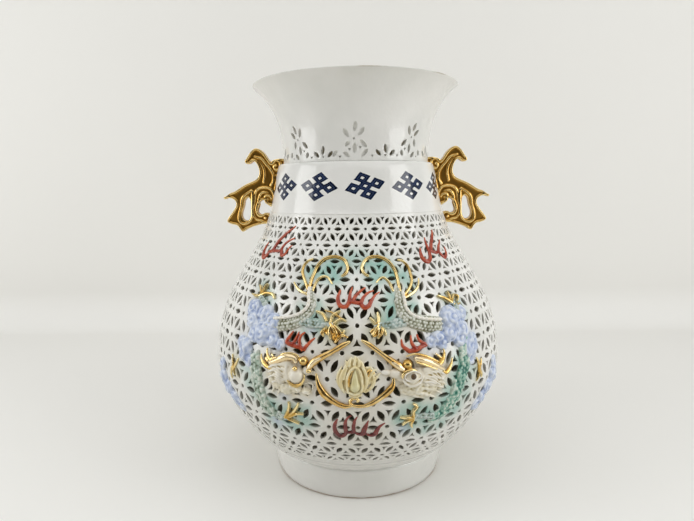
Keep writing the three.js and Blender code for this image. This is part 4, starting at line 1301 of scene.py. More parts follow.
# %% The drawing of the middle
high_flame = [
    ([(-6.5, 162.4), (-7.3, 157.1), (-6.3, 153.1), (-4.1, 152.5), (-2.7, 155.6)], (0.7, 1.5, 1.9, 1.9, 1.8)),
    ([(-2.9, 155.2), (-2.6, 159.8), (-1.7, 164.2)], (1.8, 1.3, 0.6)),
    ([(-3.6, 155.4), (-1.6, 155.2), (-0.8, 158), (1, 160.9), (3.5, 163.7)], (1.6, 1.7, 1.4, 1.2, 0.6)),
    ([(-1.3, 154.9), (1.4, 154.7), (2.4, 157.5), (4.4, 160.4), (6.9, 161.7)], (1.6, 1.8, 1.4, 1.1, 0.6)),
    ([(1.2, 154.6), (2.7, 151.9), (4.4, 152.8), (5.7, 156.1), (7.3, 159.2), (9.2, 160.8)],
     (1.6, 2.1, 1.9, 1.4, 1, 0.6))]
low_flame = [
    ([(-6.7, 82.1), (-7.8, 77.6), (-8, 73.6), (-7.3, 69.7), (-5.7, 68.3), (-4.3, 70.6), (-4.3, 76),
      (-4.1, 80.3), (-3.2, 83.5), (-2, 84.9)], (0.7, 1.6, 1.9, 2.2, 2.2, 1.8, 1.9, 1.6, 1.1, 0.6)),
    ([(-4.3, 71.1), (-2.8, 71.6), (-1.6, 72.2), (-1.5, 76.5), (-1.1, 80.6), (-0.2, 84.1)],
     (1.4, 1.7, 1.8, 1.7, 1.2, 0.6)),
    ([(-1.4, 71.8), (0.1, 70.2), (1.6, 70.3), (2.1, 73.4), (2.7, 77), (3.5, 81.2)],
     (1.1, 1.7, 2.4, 2.3, 1.5, 0.6)),
    ([(3, 69.8), (4.5, 68.8), (5.9, 69.8), (6.5, 72.8), (7.5, 76.1), (9.2, 78.5)],
     (1.2, 1.8, 2.3, 1.9, 1.2, 0.6))]
print("strokes:", sum(len(value) for value in (*left.values(), *right.values())))

# %% [markdown]
# ## Flames and tail plumes
#
# These are plain rolls that are melted together. A flame is a row of hooked tongues on one root.
# The plumes of the tails are gilt, with the gold rubbed thin and pale. A roll looks thicker once
# it is melted, so the drawn thickness is first made a little slimmer.


# %% Flames and plumes
def slimmer(strokes, share):
    """The same strokes with thinner rolls."""
    return [(places, [share * half for half in thickness], *lift) for places, thickness, *lift in strokes]


def stick_on_rolls(name, node, strokes, flatten, finish):
    """A relief piece that is made of rolls alone."""
    stick_on(melt(name, [rolls(strokes, flatten)], 0.42, 2), node, finish)


dragons = {"left": left, "right": right}
stick_on_rolls("high_flame_tongues", "high_flame", slimmer(high_flame, 0.8), 0.8, "flame_enamel")
stick_on_rolls("low_flame_tongues", "low_flame", slimmer(low_flame, 0.8), 0.8, "maroon_enamel")
for side, drawing in dragons.items():
    for part in ("upper_flame", "middle_flame"):
        node = f"{side}_{part}"
        stick_on_rolls(f"{node}_tongues", node, slimmer(drawing[part], 0.8), 0.8, "flame_enamel")
    stick_on_rolls(f"{side}_plumes", f"{side}_tail", slimmer(drawing["tail"], 0.82), 1.2, "pale_gilding")
print("pieces so far:", len(made))

# %% [markdown]
# ## Clouds
#
# A cloud is a heap of round pads with a spiral drawn in each. The spiral is pushed into the melted
# surface by a wave that turns as it goes outwards, and slow noise makes the heap uneven, like clay
# that is pressed by hand.


# %% Clouds
def push_out(piece, distance):
    """Moves each corner of a piece along its normal."""
    return move_points(piece, points_of(piece) + normals_of(piece) * distance[:, None])


def lumpy(piece, size, amount):
    """Pushes soft uneven lumps out of a surface."""
    lumps = np.array([noise.noise(Vector(point / size)) for point in points_of(piece)])
    return push_out(piece, lumps * amount)


def scroll(piece, spots, depth, pitch):
    """Draws a spiral groove on each round pad of a cloud."""
    points = points_of(piece)
    push = np.zeros(len(points))
    for degrees, height, half_width, half_height, _ in spots:
        x, y = on_bench(degrees, height)
        aside, above = points[:, 0] - x, points[:, 1] - y
        away = np.hypot(aside / half_width, above / half_height) * float(scale_at(y))
        wave = np.cos(np.arctan2(above, aside) + 2 * pi * away * half_width / pitch)
        inside = np.clip((0.95 - away) / 0.15, 0, 1)
        push = np.where(inside > 0, -depth * np.clip(wave, -0.2, 1) * inside, push)
    return push_out(piece, push)


cloud_rise = {"big_cloud": 0.66, "round_cloud": 0.62, "side_cloud": 0.55}
for side, drawing in dragons.items():
    for part, share in cloud_rise.items():
        spots = [(*spot, rise * share) for *spot, rise in drawing[part]]
        heap = lumpy(melt(f"{side}_{part}_curls", pads(spots), soften=8), 3.4, 1.0)
        scroll(heap, spots, 0.24, 3.4)
        stick_on(heap, f"{side}_{part}", "cloud_enamel")
print("pieces so far:", len(made))

# %% [markdown]
# ## Scaled bodies
#
# A dragon's body is one thick roll with a jagged spine along its back. Scales are small beads in
# rows that are shifted by half a step, pushed out of the melted surface: each point finds its
# place along and across the body, and two waves multiplied give the beads.


# %% Scales
def along_and_across(points, path, half_widths):
    """For each point: the distance along a path, the distance to its side, and the local half width."""
    line = smooth_line([on_bench(*place) for place in path], 12)
    share = measure_share(line)
    length = np.linalg.norm(np.diff(line, axis=0), axis=1).sum()
    direction = np.gradient(line, axis=0)
    direction /= np.linalg.norm(direction, axis=1)[:, None]
    nearest = np.array([np.argmin(((line - point) ** 2).sum(1)) for point in points[:, :2]])
    offset = points[:, :2] - line[nearest]
    across = direction[nearest, 0] * offset[:, 1] - direction[nearest, 1] * offset[:, 0]
    along = share[nearest] * length + (offset * direction[nearest]).sum(1)
    width = np.interp(share[nearest], np.linspace(0, 1, len(half_widths)), half_widths)
    return along, across, width


def bead_scales(piece, path, half_widths, size, depth):
    """Pushes rows of scales out of a body, fading towards its edge."""
    points = points_of(piece)
    along, across, width = along_and_across(points, path, half_widths)
    around = np.arcsin(np.clip(across / width, -1, 1)) * width
    row = np.round(around / size)
    step = along / size + 0.5 * (row % 2)
    bead = np.abs(np.cos(pi * step)) * np.cos(pi * (around / size - row))
    return push_out(piece, (bead - 0.45) * depth * np.clip(points[:, 2] / 1.2, 0, 1))


# %% Bodies and necks
SPINE, TOOTH = 1.15, 0.2
SPINE_LIFT = (1.2, 2.4, 3.0)


def saw_spine(path):
    """A ridge along a back whose thickness rises and falls like teeth."""
    line = smooth_line(path, 5)
    teeth = [SPINE + TOOTH * (step % 3 - 1) for step in range(len(line))]
    return [(line.tolist(), teeth, SPINE_LIFT)]


for side, skin in (("left", "moss_enamel"), ("right", "turquoise_enamel")):
    drawing = dragons[side]
    path, half_widths = drawing["body"]
    body = melt(f"{side}_hind_body_scaled", [rolls([(path, half_widths)], 0.58)])
    bead_scales(lumpy(body, 2.6, 0.6), path, half_widths, 2.2, 0.5)
    stick_on(body, f"{side}_hind_body", "scale_enamel")
    ridge = melt(f"{side}_hind_body_spine", [rolls(saw_spine(drawing["spine"]))], 0.4, 2)
    stick_on(ridge, f"{side}_hind_body", "ivory_enamel")
    path, half_widths = drawing["neck"]
    neck = melt(f"{side}_neck_scaled", [rolls([(path, [1.12 * half for half in half_widths])], 0.36)])
    bead_scales(lumpy(neck, 2.6, 1.0), path, half_widths, 2.5, 0.32)
    stick_on(neck, f"{side}_neck", skin)
    stick_on(melt(f"{side}_neck_tuft", [rolls(drawing["tuft"])], 0.35, 2), f"{side}_neck", "pale_gilding")
print("pieces so far:", len(made))

# %% [markdown]
# ## Legs, toes and claws
#
# A leg is a soft roll that ends in a palm, washed with green. Each toe is a flat olive roll, and a
# thin gilt claw lies along the top of it, so the gold reads as a line with a shadow on both sides.
# The raised claws reach out of the big clouds. The lower hind paws are gilt all over.

# %% Legs, toes and claws
palms = {"left": {"hind_leg": (-9.3, 141.3), "fore_leg": (-25.2, 79.0), "raised_claw": (-41.9, 154.4)},
         "right": {"hind_leg": (7.3, 141.0), "fore_leg": (19.0, 80.8), "raised_claw": (39.3, 150.2)}}
for side, drawing in dragons.items():
    for part, palm in palms[side].items():
        node = f"{side}_{'big_cloud' if part == 'raised_claw' else part}"
        limb, *claws = drawing[part]
        leg = melt(f"{side}_{part}_limb", [rolls([limb], 0.45), *pads([(*palm, 2.8, 2.5, 1.9)])])
        bead_scales(lumpy(leg, 2.2, 0.7), limb[0], limb[1], 2.2, 0.35)
        stick_on(leg, node, "limb_enamel")
        toes = [(places, (1.7, 1.6, 1.0)) for places, *_ in claws]
        stick_on(melt(f"{side}_{part}_toes", [rolls(toes, 0.7)]), node, "olive_enamel")
        stick_on(melt(f"{side}_{part}_claws", [rolls(slimmer(claws, 0.8))], 0.35, 2), node, "pale_gilding")

# %% The gilt hind paws
paws = {
    "left": ([(-7.2, 135.0, 3.5, 3.0, 1.3), (-9.8, 137.6, 2.5, 2.2, 1.4)],
             [([(-11.7, 149.8), (-9.0, 148.7), (-6.4, 146.3), (-3.8, 143.5)], (0.5, 0.8, 0.8, 0.4), 0.8),
              ([(-7.4, 131.0), (-6.3, 134.0), (-4.9, 135.4), (-3.0, 134.4)], (0.7, 1.1, 1.1, 0.5), 1.4),
              ([(-11.1, 139.2), (-12.1, 136.7), (-11.4, 134.9)], (0.9, 1.0, 0.5), 1.2),
              ([(-9.9, 142.8), (-8.7, 140.9), (-7.2, 137.4), (-6.8, 134.4)], (0.6, 1.1, 1.2, 0.6), 2.0)]),
    "right": ([(6.0, 137.2, 2.8, 2.8, 1.3)],
              [([(7.6, 141.6), (6.4, 138.4), (5.2, 135.0)], (0.7, 1.1, 0.5), 1.8),
               ([(8.6, 139.8), (8.4, 136.8), (7.2, 134.0)], (0.7, 1.0, 0.5), 1.4)])}
for side, (spots, strokes) in paws.items():
    paw = lumpy(melt(f"{side}_hind_paw", [*pads(spots), rolls(strokes)], 0.35, 2), 1.8, 0.4)
    stick_on(paw, f"{side}_hind_leg", "gilding")
print("pieces so far:", len(made))

# %% [markdown]
# ## The heads
#
# A head is built of five layers, each with its own finish: the ivory face with a big round cheek
# or eye and a combed jowl, the beard of flat cream locks, the lustred brow, the gilt horns, lines
# and nose, and the long whiskers. The two heads differ, since one looks straight at the pearl and
# the other turns its eye out of the wall. The comb is a place, a half width and half height, the
# depth and spacing of the hair strokes, and their lean.
# ## The heads
#
# A head is built of five layers, each with its own finish: the ivory face with a big round cheek or
# eye and a combed jowl, the beard of flat cream locks, the rosy band of the brow, the gilt horns,
# lines and nose, and the long whiskers. The two heads are drawn apart, since one looks straight at
# the pearl and the other turns its eye out of the wall.

# %% The drawing of the left head
left_head = {
    "face": [
        (-19.9, 110.1, 5.3, 5.5, 6.8), (-26, 109.4, 4.8, 7.4, 4.9), (-23.6, 116.6, 5.6, 3.6, 4.6),
        (-16.4, 113.6, 3, 3, 3.6), (-22.8, 111.4, 6.8, 7.8, 4.2), (-29.2, 112.6, 2.8, 3.6, 3)],
    "ridges": [
        ([(-23.4, 116.2), (-27, 115.4), (-30, 112.6)], (0.8, 1.4, 0.6), 3.6),
        ([(-23.4, 113.4), (-27, 112.4), (-30.4, 109.4)], (0.9, 1.4, 0.6), 3.4),
        ([(-23.2, 110.4), (-26.8, 109.2), (-30, 106.4)], (0.9, 1.4, 0.6), 3.2),
        ([(-22.8, 107.4), (-26, 105.8), (-28.8, 103.2)], (0.8, 1.3, 0.6), 2.8),
        ([(-22.8, 117), (-23.1, 113), (-22.6, 108)], (0.7, 1, 0.5), (4, 3.6))],
    "comb": (-26.6, 110, 5.4, 7.6, 0.3, 1.6, -14),
    "beard": [
        (-27, 102.4, 4.4, 4, 2), (-24, 100, 5.4, 4, 2), (-20.6, 101.2, 4.6, 3.6, 2),
        (-29.4, 106, 3.4, 5, 1.7), (-19.4, 100.8, 2.6, 2.2, 3), (-16.6, 100, 3.2, 2.4, 3.2)],
    "locks": [
        ([(-26.6, 104.6), (-28.4, 100), (-29.4, 95.4)], (1.5, 1.3, 0.6), 1),
        ([(-24.4, 103.2), (-26.2, 98.6), (-27.4, 94.8)], (1.5, 1.3, 0.6), 1),
        ([(-21.8, 102.6), (-23.2, 98.4), (-24.6, 95.6)], (1.4, 1.2, 0.6), 1),
        ([(-28.4, 107.6), (-30, 104), (-31, 100.4)], (1.3, 1.1, 0.5), 0.8),
        ([(-17.4, 102.2), (-17, 105), (-15.6, 106), (-14.3, 104.6), (-14.5, 101.6)], (0.7, 0.8, 0.8, 0.9),
         0.8)],
    "brow": [
        ([(-29.8, 115.6), (-27.2, 117.4), (-24.8, 119.7), (-22.4, 121), (-20.3, 120.5), (-19.7, 117.8)],
         (1.5, 2.1, 2.4, 2.3, 1.9, 1.2), (3, 3.8, 3.8)),
        ([(-15.9, 114.9), (-14.9, 117.4), (-13.8, 119.7), (-12.2, 121.5), (-10.4, 123.4)],
         (0.9, 1.5, 1.5, 1.1, 0.4), 2.7)],
    "lines": [
        ([(-29.4, 118.2), (-26.4, 119.9), (-24.4, 122.3), (-21.6, 123.2), (-19.3, 122.3), (-18.9, 119.8)],
         (0.6, 0.8, 0.9, 0.9, 0.8, 0.6), 3.6),
        ([(-22.9, 107.8), (-22.3, 105.6), (-21.2, 104.2), (-20, 103.6), (-18.6, 104.4), (-17.5, 106.2),
          (-16.9, 108.8), (-17, 111.4)], (0.5, 0.9, 1.1, 1.2, 1.1, 0.9, 0.8, 0.5), 3),
        ([(-34.2, 119.9), (-33.7, 116.7), (-32.4, 114), (-30.7, 112.6), (-29.2, 112.7), (-28.4, 114.4)],
         (0.5, 0.9, 1.3, 1.6, 1.5, 1.2), (1.6, 2.6)),
        ([(-31.8, 124.3), (-31.6, 121.8), (-31, 119.6), (-29.8, 117.8), (-28.4, 116.8)],
         (0.5, 0.8, 1.1, 1.4, 1.6), (1.6, 3.2)),
        ([(-29.6, 121.4), (-28.8, 119.8), (-27.6, 118.8)], (0.4, 0.8, 0.8), 2.4)],
    "knobs": [
        (-17.5, 119.5, 3, 3, 3.4, 2), (-19.6, 114.9, 1.6, 1.5, 1.8, 5.4), (-15.6, 113.6, 1.9, 1.5, 2, 2.2)],
    "whiskers": [
        ([(-16.3, 113.6), (-15.5, 116), (-14.4, 118.6), (-12.9, 120.9), (-11, 123), (-9, 125.1),
          (-6.8, 127.5), (-4.7, 130), (-2.3, 132.2)], (1, 1.9, 2.1, 1.9, 1.6, 1.4, 1.6, 1.5, 0.6),
         (1.8, 1.2)),
        ([(-13.3, 112.4), (-12.8, 107.4), (-12, 103.4), (-10.6, 99.4), (-8.4, 95.9), (-6, 93.2), (-4, 92),
          (-1.8, 92.5)], (0.5, 1.1, 1.9, 2.2, 1.8, 1.5, 1.4, 0.8), 1),
        ([(-32.6, 117.6), (-31.2, 116.2), (-30.4, 118.2)], (1.2, 1.6, 1), 0.4)]}

# %% The drawing of the right head
right_head = {
    "face": [
        (17.2, 109.3, 5.4, 5.7, 6.4), (22.6, 112.2, 5.4, 3.2, 4.4), (26, 111.2, 5.2, 3, 4),
        (24.6, 106.4, 6.4, 5.6, 3.9), (28.4, 107, 4.4, 4.4, 3.2), (12.2, 112, 4.4, 3.2, 3.4),
        (9.2, 113, 3.6, 1.8, 2.2), (21.4, 109.4, 7.6, 6.4, 3.8), (14, 109.6, 4, 3.2, 2.8),
        (17.1, 110.4, 2.3, 2.4, 6.7)],
    "ridges": [
        ([(14, 109.4), (14.9, 106), (17, 104.4), (19.5, 105.6), (20.8, 108.8)], (0.6, 0.9, 1, 0.9, 0.5),
         (4, 4.4, 4)),
        ([(21, 113.4), (24.6, 113.6), (28.4, 111)], (0.8, 1.4, 0.5), 3.4),
        ([(21.6, 110.4), (25.6, 110.8), (29.6, 107.8)], (0.8, 1.3, 0.5), 3.2),
        ([(21.6, 107.6), (25, 107.6), (28.8, 104.6)], (0.7, 1.2, 0.5), 3.2),
        ([(21.2, 105), (24.2, 104.6), (27.4, 101.8)], (0.7, 1.1, 0.5), 3),
        ([(16.9, 113.6), (14.9, 112), (14.5, 109.7), (15.7, 107.7), (17.7, 107.4), (19.5, 108.9),
          (19.6, 111.3), (17.9, 113.2), (16.9, 113.6)], [0.55], 5.6)],
    "comb": (25.2, 107.4, 7, 5.8, 0.35, 1.5, -34),
    "beard": [
        (15.2, 102.2, 4.8, 3.2, 1.8), (19.6, 101.6, 5.4, 4.2, 2.4), (24.6, 100.2, 5, 4, 2.2),
        (21.4, 97.4, 5, 2.6, 1.5), (28.2, 100.6, 3.2, 3.4, 1.6), (16.6, 98.8, 4, 2.2, 1.4)],
    "locks": [
        ([(13.3, 101.9), (18.4, 99), (23.6, 95.4), (26.8, 93)], (1.3, 1.5, 1.3, 0.6), 1),
        ([(16.4, 103.6), (21.4, 101.2), (26, 97.6), (28.6, 95)], (1.3, 1.4, 1.1, 0.5), 1.4),
        ([(20.2, 103.8), (25.2, 101.8), (29.2, 98.8)], (1.2, 1.3, 0.6), 1.8),
        ([(25.6, 103.4), (28.6, 102.4), (30.6, 99.8)], (1.1, 1, 0.5), 1.2),
        ([(13.6, 99.4), (18, 96.6), (22.4, 93.4)], (1, 1.1, 0.5), 0.6)],
    "brow": [
        ([(18.2, 120.4), (20.6, 119.2), (23.4, 117), (26.4, 113.9), (29, 110.8)],
         (1.5, 2.2, 2.3, 1.9, 1.1), (3.6, 3.6, 3)),
        ([(14.8, 114), (13, 116.4), (11.4, 118.7), (9.9, 120.9)], (1.5, 1.9, 1.4, 0.5), 2.7)],
    "lines": [
        ([(15.6, 122), (18.4, 122.9), (21.6, 121.6), (24.6, 119), (27, 116.2)], (0.5, 0.8, 0.9, 0.9, 0.8),
         2.8),
        ([(26.2, 121.6), (27.3, 119.9), (28.2, 118), (27.8, 116.2)], (0.4, 0.8, 1, 1), 2.2),
        ([(29.9, 123.6), (29.9, 121), (29.4, 118.6), (28.4, 116.2), (27, 114.4)],
         (0.5, 0.9, 1.2, 1.5, 1.4), (1.6, 3.2)),
        ([(33.2, 117), (32.5, 113.6), (31.1, 110.4), (29.6, 108.8), (28.3, 110.4)],
         (0.5, 0.9, 1.4, 1.6, 1.1), (1.6, 3)),
        ([(18.8, 113.2), (17, 114), (14.9, 112.9), (13.9, 110.6), (14.2, 108.6)], (0.5, 1.2, 1.3, 1, 0.4),
         (4.4, 4.8, 3.6)),
        ([(18.4, 118.4), (20.8, 116.6), (23.6, 114.2), (26, 112)], (0.6, 0.8, 0.7, 0.4), 4.4)],
    "knobs": [(16, 117.3, 3.1, 3.1, 3.4, 2.2)],
    "pupil": [(17.1, 110.4, 1.8, 1.9, 1.2, 6.3)],
    "whiskers": [
        ([(15.3, 113.6), (13.4, 116.4), (11.4, 119.2), (8.6, 123.4), (6, 127.3), (3.5, 130.7), (1.3, 132.9)],
         (1.4, 2.2, 1.8, 1.3, 1.3, 1.3, 0.6), (2, 1.2)),
        ([(11.4, 110.2), (11.3, 105.4), (9.8, 101.4), (7.4, 97.7), (4.9, 94.5), (2.5, 92.5), (0.4, 92.1),
          (-1.6, 92.7), (-2.5, 94.6), (-2, 96.6), (-0.6, 97.2), (0.3, 96), (-0.4, 94.8)],
         (0.5, 1.1, 2, 1.9, 1.6, 1.5, 1.3, 1, 0.9, 0.9, 0.9, 0.8, 0.6), 1)]}


# %% The heads, modelled
def comb_hair(piece, angle, height, half_width, half_height, depth, pitch, degrees):
    """Cuts parallel hair strokes across one pad."""
    x, y = on_bench(angle, height)
    local = float(scale_at(y))
    points = points_of(piece)
    lean = radians(degrees)
    dx, dy = (points[:, 0] - x) * local, (points[:, 1] - y) * local
    away = np.hypot(dx / half_width, dy / half_height)
    down = -dx * sin(lean) + dy * cos(lean) + 0.05 * (dx * cos(lean)) ** 2
    inside = np.clip((1.0 - away) / 0.3, 0, 1)
    return push_out(piece, -depth * (0.5 + 0.5 * np.cos(2 * pi * down / pitch)) * inside)


for side, head in (("left", left_head), ("right", right_head)):
    node = f"{side}_head"
    face = melt(f"{node}_face", [*pads(head["face"]), rolls(head["ridges"])], 0.4, 5)
    comb_hair(face, *head["comb"])
    stick_on(face, node, "ivory_enamel", 0.35)
    locks = rolls(slimmer(head["locks"], 0.8), 0.8)
    beard = lumpy(melt(f"{node}_beard", [*pads(head["beard"]), locks], 0.42), 2.0, 0.4)
    stick_on(beard, node, "beard_enamel")
    stick_on(melt(f"{node}_brow", [rolls(head["brow"])], 0.4), node, "lustre")
    gilt = [rolls(head["lines"]), *pads(head["knobs"])]
    stick_on(melt(f"{node}_gilt", gilt, 0.32, 2), node, "pale_gilding")
    whiskers = rolls(slimmer(head["whiskers"], 1.18), 0.9)
    stick_on(melt(f"{node}_whiskers", [whiskers], 0.4, 2), node, "whisker_gilding")
    if "pupil" in head:
        stick_on(melt(f"{node}_pupil", pads(head["pupil"]), 0.25), node, "pupil_enamel")
print("pieces so far:", len(made))

# %% [markdown]
# ## The flaming pearl
#
# The pearl is a smooth pointed drop under an arch, with petals of flame leaning to it from both
# sides and a gilt line in the hollow on its left. A low mound fills the openings of the lattice
# behind it.

# %% The drawing of the pearl
pearl_mound = [(-0.9, 107.6, 8.0, 9.6, 1.5), (-0.9, 116.0, 6.4, 6.6, 1.4), (3.6, 111.6, 4.4, 6.0, 1.1)]
pearl_flames = [
    ([(-3, 101.4), (-3.3, 106.1), (-3.2, 110.2), (-2.4, 114.2), (-0.8, 116.8), (0.5, 114.9), (1.2, 111.2),
      (1.4, 106.1), (1.1, 102.4), (-0.8, 100.2), (-3, 101.4)], (0.8, 0.9, 0.9, 0.9, 0.9, 0.9, 0.9, 0.8), 2),
    ([(-4, 100.6), (-5.2, 105.3), (-5.2, 110.1), (-4.4, 114.4), (-3.5, 118.2), (-3.8, 121.4)],
     (0.7, 1.2, 1.3, 1.3, 1, 0.4), 1.4),
    ([(-4.4, 109.2), (-4, 113), (-3.2, 116.4)], (0.8, 0.9, 0.5), 1.8),
    ([(-2.7, 117.2), (-2.5, 120.4), (-1.7, 122.8)], (1.1, 1.1, 0.4), 1.6),
    ([(-1.1, 118), (-0.7, 120.9), (-0.8, 123.9)], (1.1, 1, 0.4), 1.6),
    ([(0.4, 117.2), (0.5, 120.2), (-0.1, 123)], (1, 1, 0.4), 1.6),
    ([(1.8, 101.4), (2.7, 106.1), (2.9, 110.2), (2.4, 113.6), (1.6, 116.9), (1.3, 120.4)],
     (0.7, 1.2, 1.3, 1.2, 1, 0.4), 1.4),
    ([(2.2, 101), (4.4, 104.4), (5.2, 108.8), (4.6, 112.8)], (0.7, 1.2, 1.2, 0.4), 1),
    ([(3.6, 110), (4.4, 113.4), (6.2, 115.6)], (0.9, 1.2, 0.4), 1),
    ([(4.4, 107.4), (6, 110.2), (7.2, 113)], (0.8, 1, 0.4), 0.8),
    ([(-5.2, 103.4), (-6.2, 108), (-6, 112.8), (-5, 117.4)], (0.6, 1.1, 1.1, 0.4), 1),
    ([(-2.8, 99.4), (-0.8, 98.4), (1.4, 99.8)], (0.7, 1.1, 0.6), 1.2)]
pearl_drop = ([(-0.8, 105.5), (-0.85, 110.5), (-0.8, 115.4)], (2.9, 2.0, 0.6), 1.4)
pearl_gilt = [
    ([(-2.6, 104.6), (-2.75, 108.6), (-2.2, 112.4), (-1.5, 114.8)], (0.5, 1, 1, 0.4), 2),
    ([(2.9, 108.6), (3.3, 112.6), (3.9, 114.8), (5.4, 113)], (0.9, 1.2, 1, 0.4), 1.2)]

# %% The pearl
mound = lumpy(melt("pearl_mound", pads(pearl_mound)), 2.4, 0.4)
stick_on(mound, "pearl", "pearl_enamel")
stick_on(melt("pearl_flames", [rolls(pearl_flames)], 0.36, 2), "pearl", "pearl_enamel")
drop = melt("pearl_drop", [*pads([(-0.8, 105.0, 3.5, 4.3, 4.4)]), rolls([pearl_drop])])
stick_on(drop, "pearl", "drop_enamel")
stick_on(melt("pearl_gilt", [rolls(pearl_gilt)], 0.32, 2), "pearl", "gilding")
print("pieces so far:", len(made))

# %% [markdown]
# ## The handles
#
# A handle is a flat, pierced scroll with a beaked neck, gilt all over. It is drawn lying down, as
# a distance from the axis and a height: a filled outline gives the plate, and rolls along the
# edges and scrolls, above and below, give the raised lines that catch the light. All is melted,
# stood up in the plane of the vase's axis, and copied half a turn round for the other side.

# %% The drawing of the handle
handle_outline = [
    (55, 251), (60.1, 251.4), (64.2, 250.6), (66.7, 248), (69.5, 251.2), (72.2, 255.4), (75.8, 258.6),
    (79.6, 259.6), (83.2, 257.2), (86, 253.2), (88.4, 249.4), (87, 247.6), (84.4, 247.6), (81.5, 249.6),
    (78.9, 247.7), (77.2, 243.3), (77.3, 238.6), (80.4, 234.8), (88.9, 231), (97.1, 226), (101.6, 224.2),
    (106.2, 220.3), (101.2, 220.6), (97.2, 218.4), (96.6, 214.6), (99, 210.4), (104.3, 202.6),
    (100.9, 199.7), (96.2, 198.4), (92.3, 193.4), (88, 195.6), (82.8, 197.6), (76.5, 199.4), (71.4, 199.9),
    (68.2, 203), (69, 207), (72.8, 208.6), (76.6, 207.2), (79.3, 209.4), (79.2, 213.2), (76.9, 217.6),
    (73.6, 218.6), (70.6, 214.8), (66.6, 212.6), (63.4, 212.8), (61, 218), (58.2, 228), (56, 240)]
keyhole = [
    (86.9, 221.4), (89.3, 218.6), (90.4, 213.4), (92.2, 208.2), (91.8, 204.2), (89.4, 202.4), (86.6, 203),
    (84.9, 206.6), (84.5, 213), (84.9, 218.8)]
handle_lines = [
    ([(80.6, 253.4), (79, 252.6), (74.8, 251.3), (71.4, 247.2), (68.4, 243.6), (66, 239.1), (65.9, 234),
      (68.3, 229.9)], (0.5, 0.9, 1, 0.9, 1, 1.1, 1.1, 0.8)),
    ([(77.9, 251.3), (75, 247.3), (73.1, 243.2), (72.7, 238.1), (73.9, 232.6)], (0.5, 0.8, 0.8, 0.9, 0.6)),
    ([(81.4, 219.4), (80.4, 225), (77.2, 228), (72.5, 228.7), (68.4, 227.4), (66, 223.3), (65.6, 218.2)],
     (0.9, 1, 1, 0.9)),
    ([(78.4, 218.6), (76.8, 222.9), (74.2, 224.9), (70.1, 224.3)], (0.8, 0.9, 0.9, 0.5)),
    ([(67.6, 219.7), (69.1, 221.8), (71.7, 222.3), (72.9, 221), (71.8, 219.5), (70.2, 219.6)],
     (0.7, 0.9, 1, 1, 0.8)),
    ([(73.2, 218), (70.3, 215.6), (65.2, 214.5)], (0.9, 1, 0.7)),
    ([(83.4, 226.5), (88.2, 223.5), (91.5, 220), (92.8, 213.3), (94.6, 206.6), (94.2, 201.9),
      (91.2, 199.8), (87, 200.8), (84, 204.9), (83.6, 210.6), (83.2, 218.3), (83, 226)],
     (0.8, 0.8, 0.9, 0.9)),
    ([(81.4, 219.4), (82, 215.4), (83, 211.6), (82.6, 206.5), (80.2, 203.3), (76.5, 202.1), (73.4, 200.9)],
     (0.9, 0.9, 1, 1)),
    ([(78.2, 215.7), (80, 209.6), (78.4, 206.2), (75.3, 206.2), (73.2, 207.7), (70.6, 207.2),
      (69.2, 204.8), (70.8, 201.9), (73.4, 200.9)], (0.8, 0.9, 0.9, 1.1)),
    ([(73, 204.8), (73.6, 203.4)], (1.2, 1)),
    ([(66.7, 248.6), (64.1, 249.9), (61.1, 249.4), (59.8, 246.6), (61.2, 243.3), (63.8, 242.8),
      (64.9, 245.2), (63.2, 246.4)], (0.9, 1, 1, 1)),
    ([(58.4, 245), (59.3, 238), (60, 231.9), (62.3, 223.2), (65.2, 214)], (0.8, 0.9, 1, 0.9)),
    ([(63.8, 238.4), (63.6, 231.8), (65, 226.4)], (0.7, 0.9, 0.6))]


# %% The handle, modelled flat
PLATE, RIDGE = 3.2, 3.3
CUTTER = 9.0
EDGE_INSET, EDGE_ROLL = 0.85, 0.85
HANDLE_VOXEL = 0.42


def moved_inwards(outline, distance):
    """The same closed line, a little smaller."""
    line = np.array(outline)
    along = np.roll(line, -1, axis=0) - np.roll(line, 1, axis=0)
    along /= np.linalg.norm(along, axis=1)[:, None]
    return line + distance * np.column_stack([along[:, 1], -along[:, 0]])


edge_line = smooth_line(handle_outline, 4)
plate = flat_plate(edge_line.tolist(), -PLATE, PLATE)
hole_cutter = flat_plate(smooth_line([*keyhole, keyhole[0]], 4).tolist()[:-1], -CUTTER, CUTTER)
rim = moved_inwards(edge_line, EDGE_INSET)
strokes = [(np.vstack([rim, rim[:1]]), [EDGE_ROLL]), *handle_lines]
lines = [rolls([(*stroke, level) for stroke in strokes], flat_drawing=True) for level in (RIDGE, -RIDGE)]
handle = melt("handle", [plate, *lines], HANDLE_VOXEL, 2)
modify(handle, "BOOLEAN", object=hole_cutter, operation="DIFFERENCE", solver="FAST")
bpy.data.objects.remove(hole_cutter)
modify(handle, "REMESH", mode="VOXEL", voxel_size=HANDLE_VOXEL)
modify(handle, "SMOOTH", factor=0.5, iterations=3)
mark_crests(handle, CREST, 18)

# %% The two handles, stood up
points = points_of(handle)
move_points(handle, np.column_stack([points[:, 0], -points[:, 2], points[:, 1]]) * MM)
in_edit_mode(handle, bpy.ops.mesh.normals_make_consistent)
smooth_faces(handle, 60)
for side, piece in (("right", handle), ("left", half_turned(handle))):
    piece.name = f"{side}_handle_gilt"
    finish_piece(piece, [f"{side}_handle"], *finishes["gilding"])
print("handle corners:", len(handle.data.vertices))

# %% [markdown]
# ## The washes on the pierced wall
#
# The decorator brushed thin green round the tails, the bodies and the claws, olive under the toes,
# cream round the heads and the pearl, and a little blue round the clouds. A wash is a round spot
# that fades outwards. Each corner of the lattice stores how much of each wash it takes, on the
# front and, turned half round, on the back, and how deep it lies inside a hole.

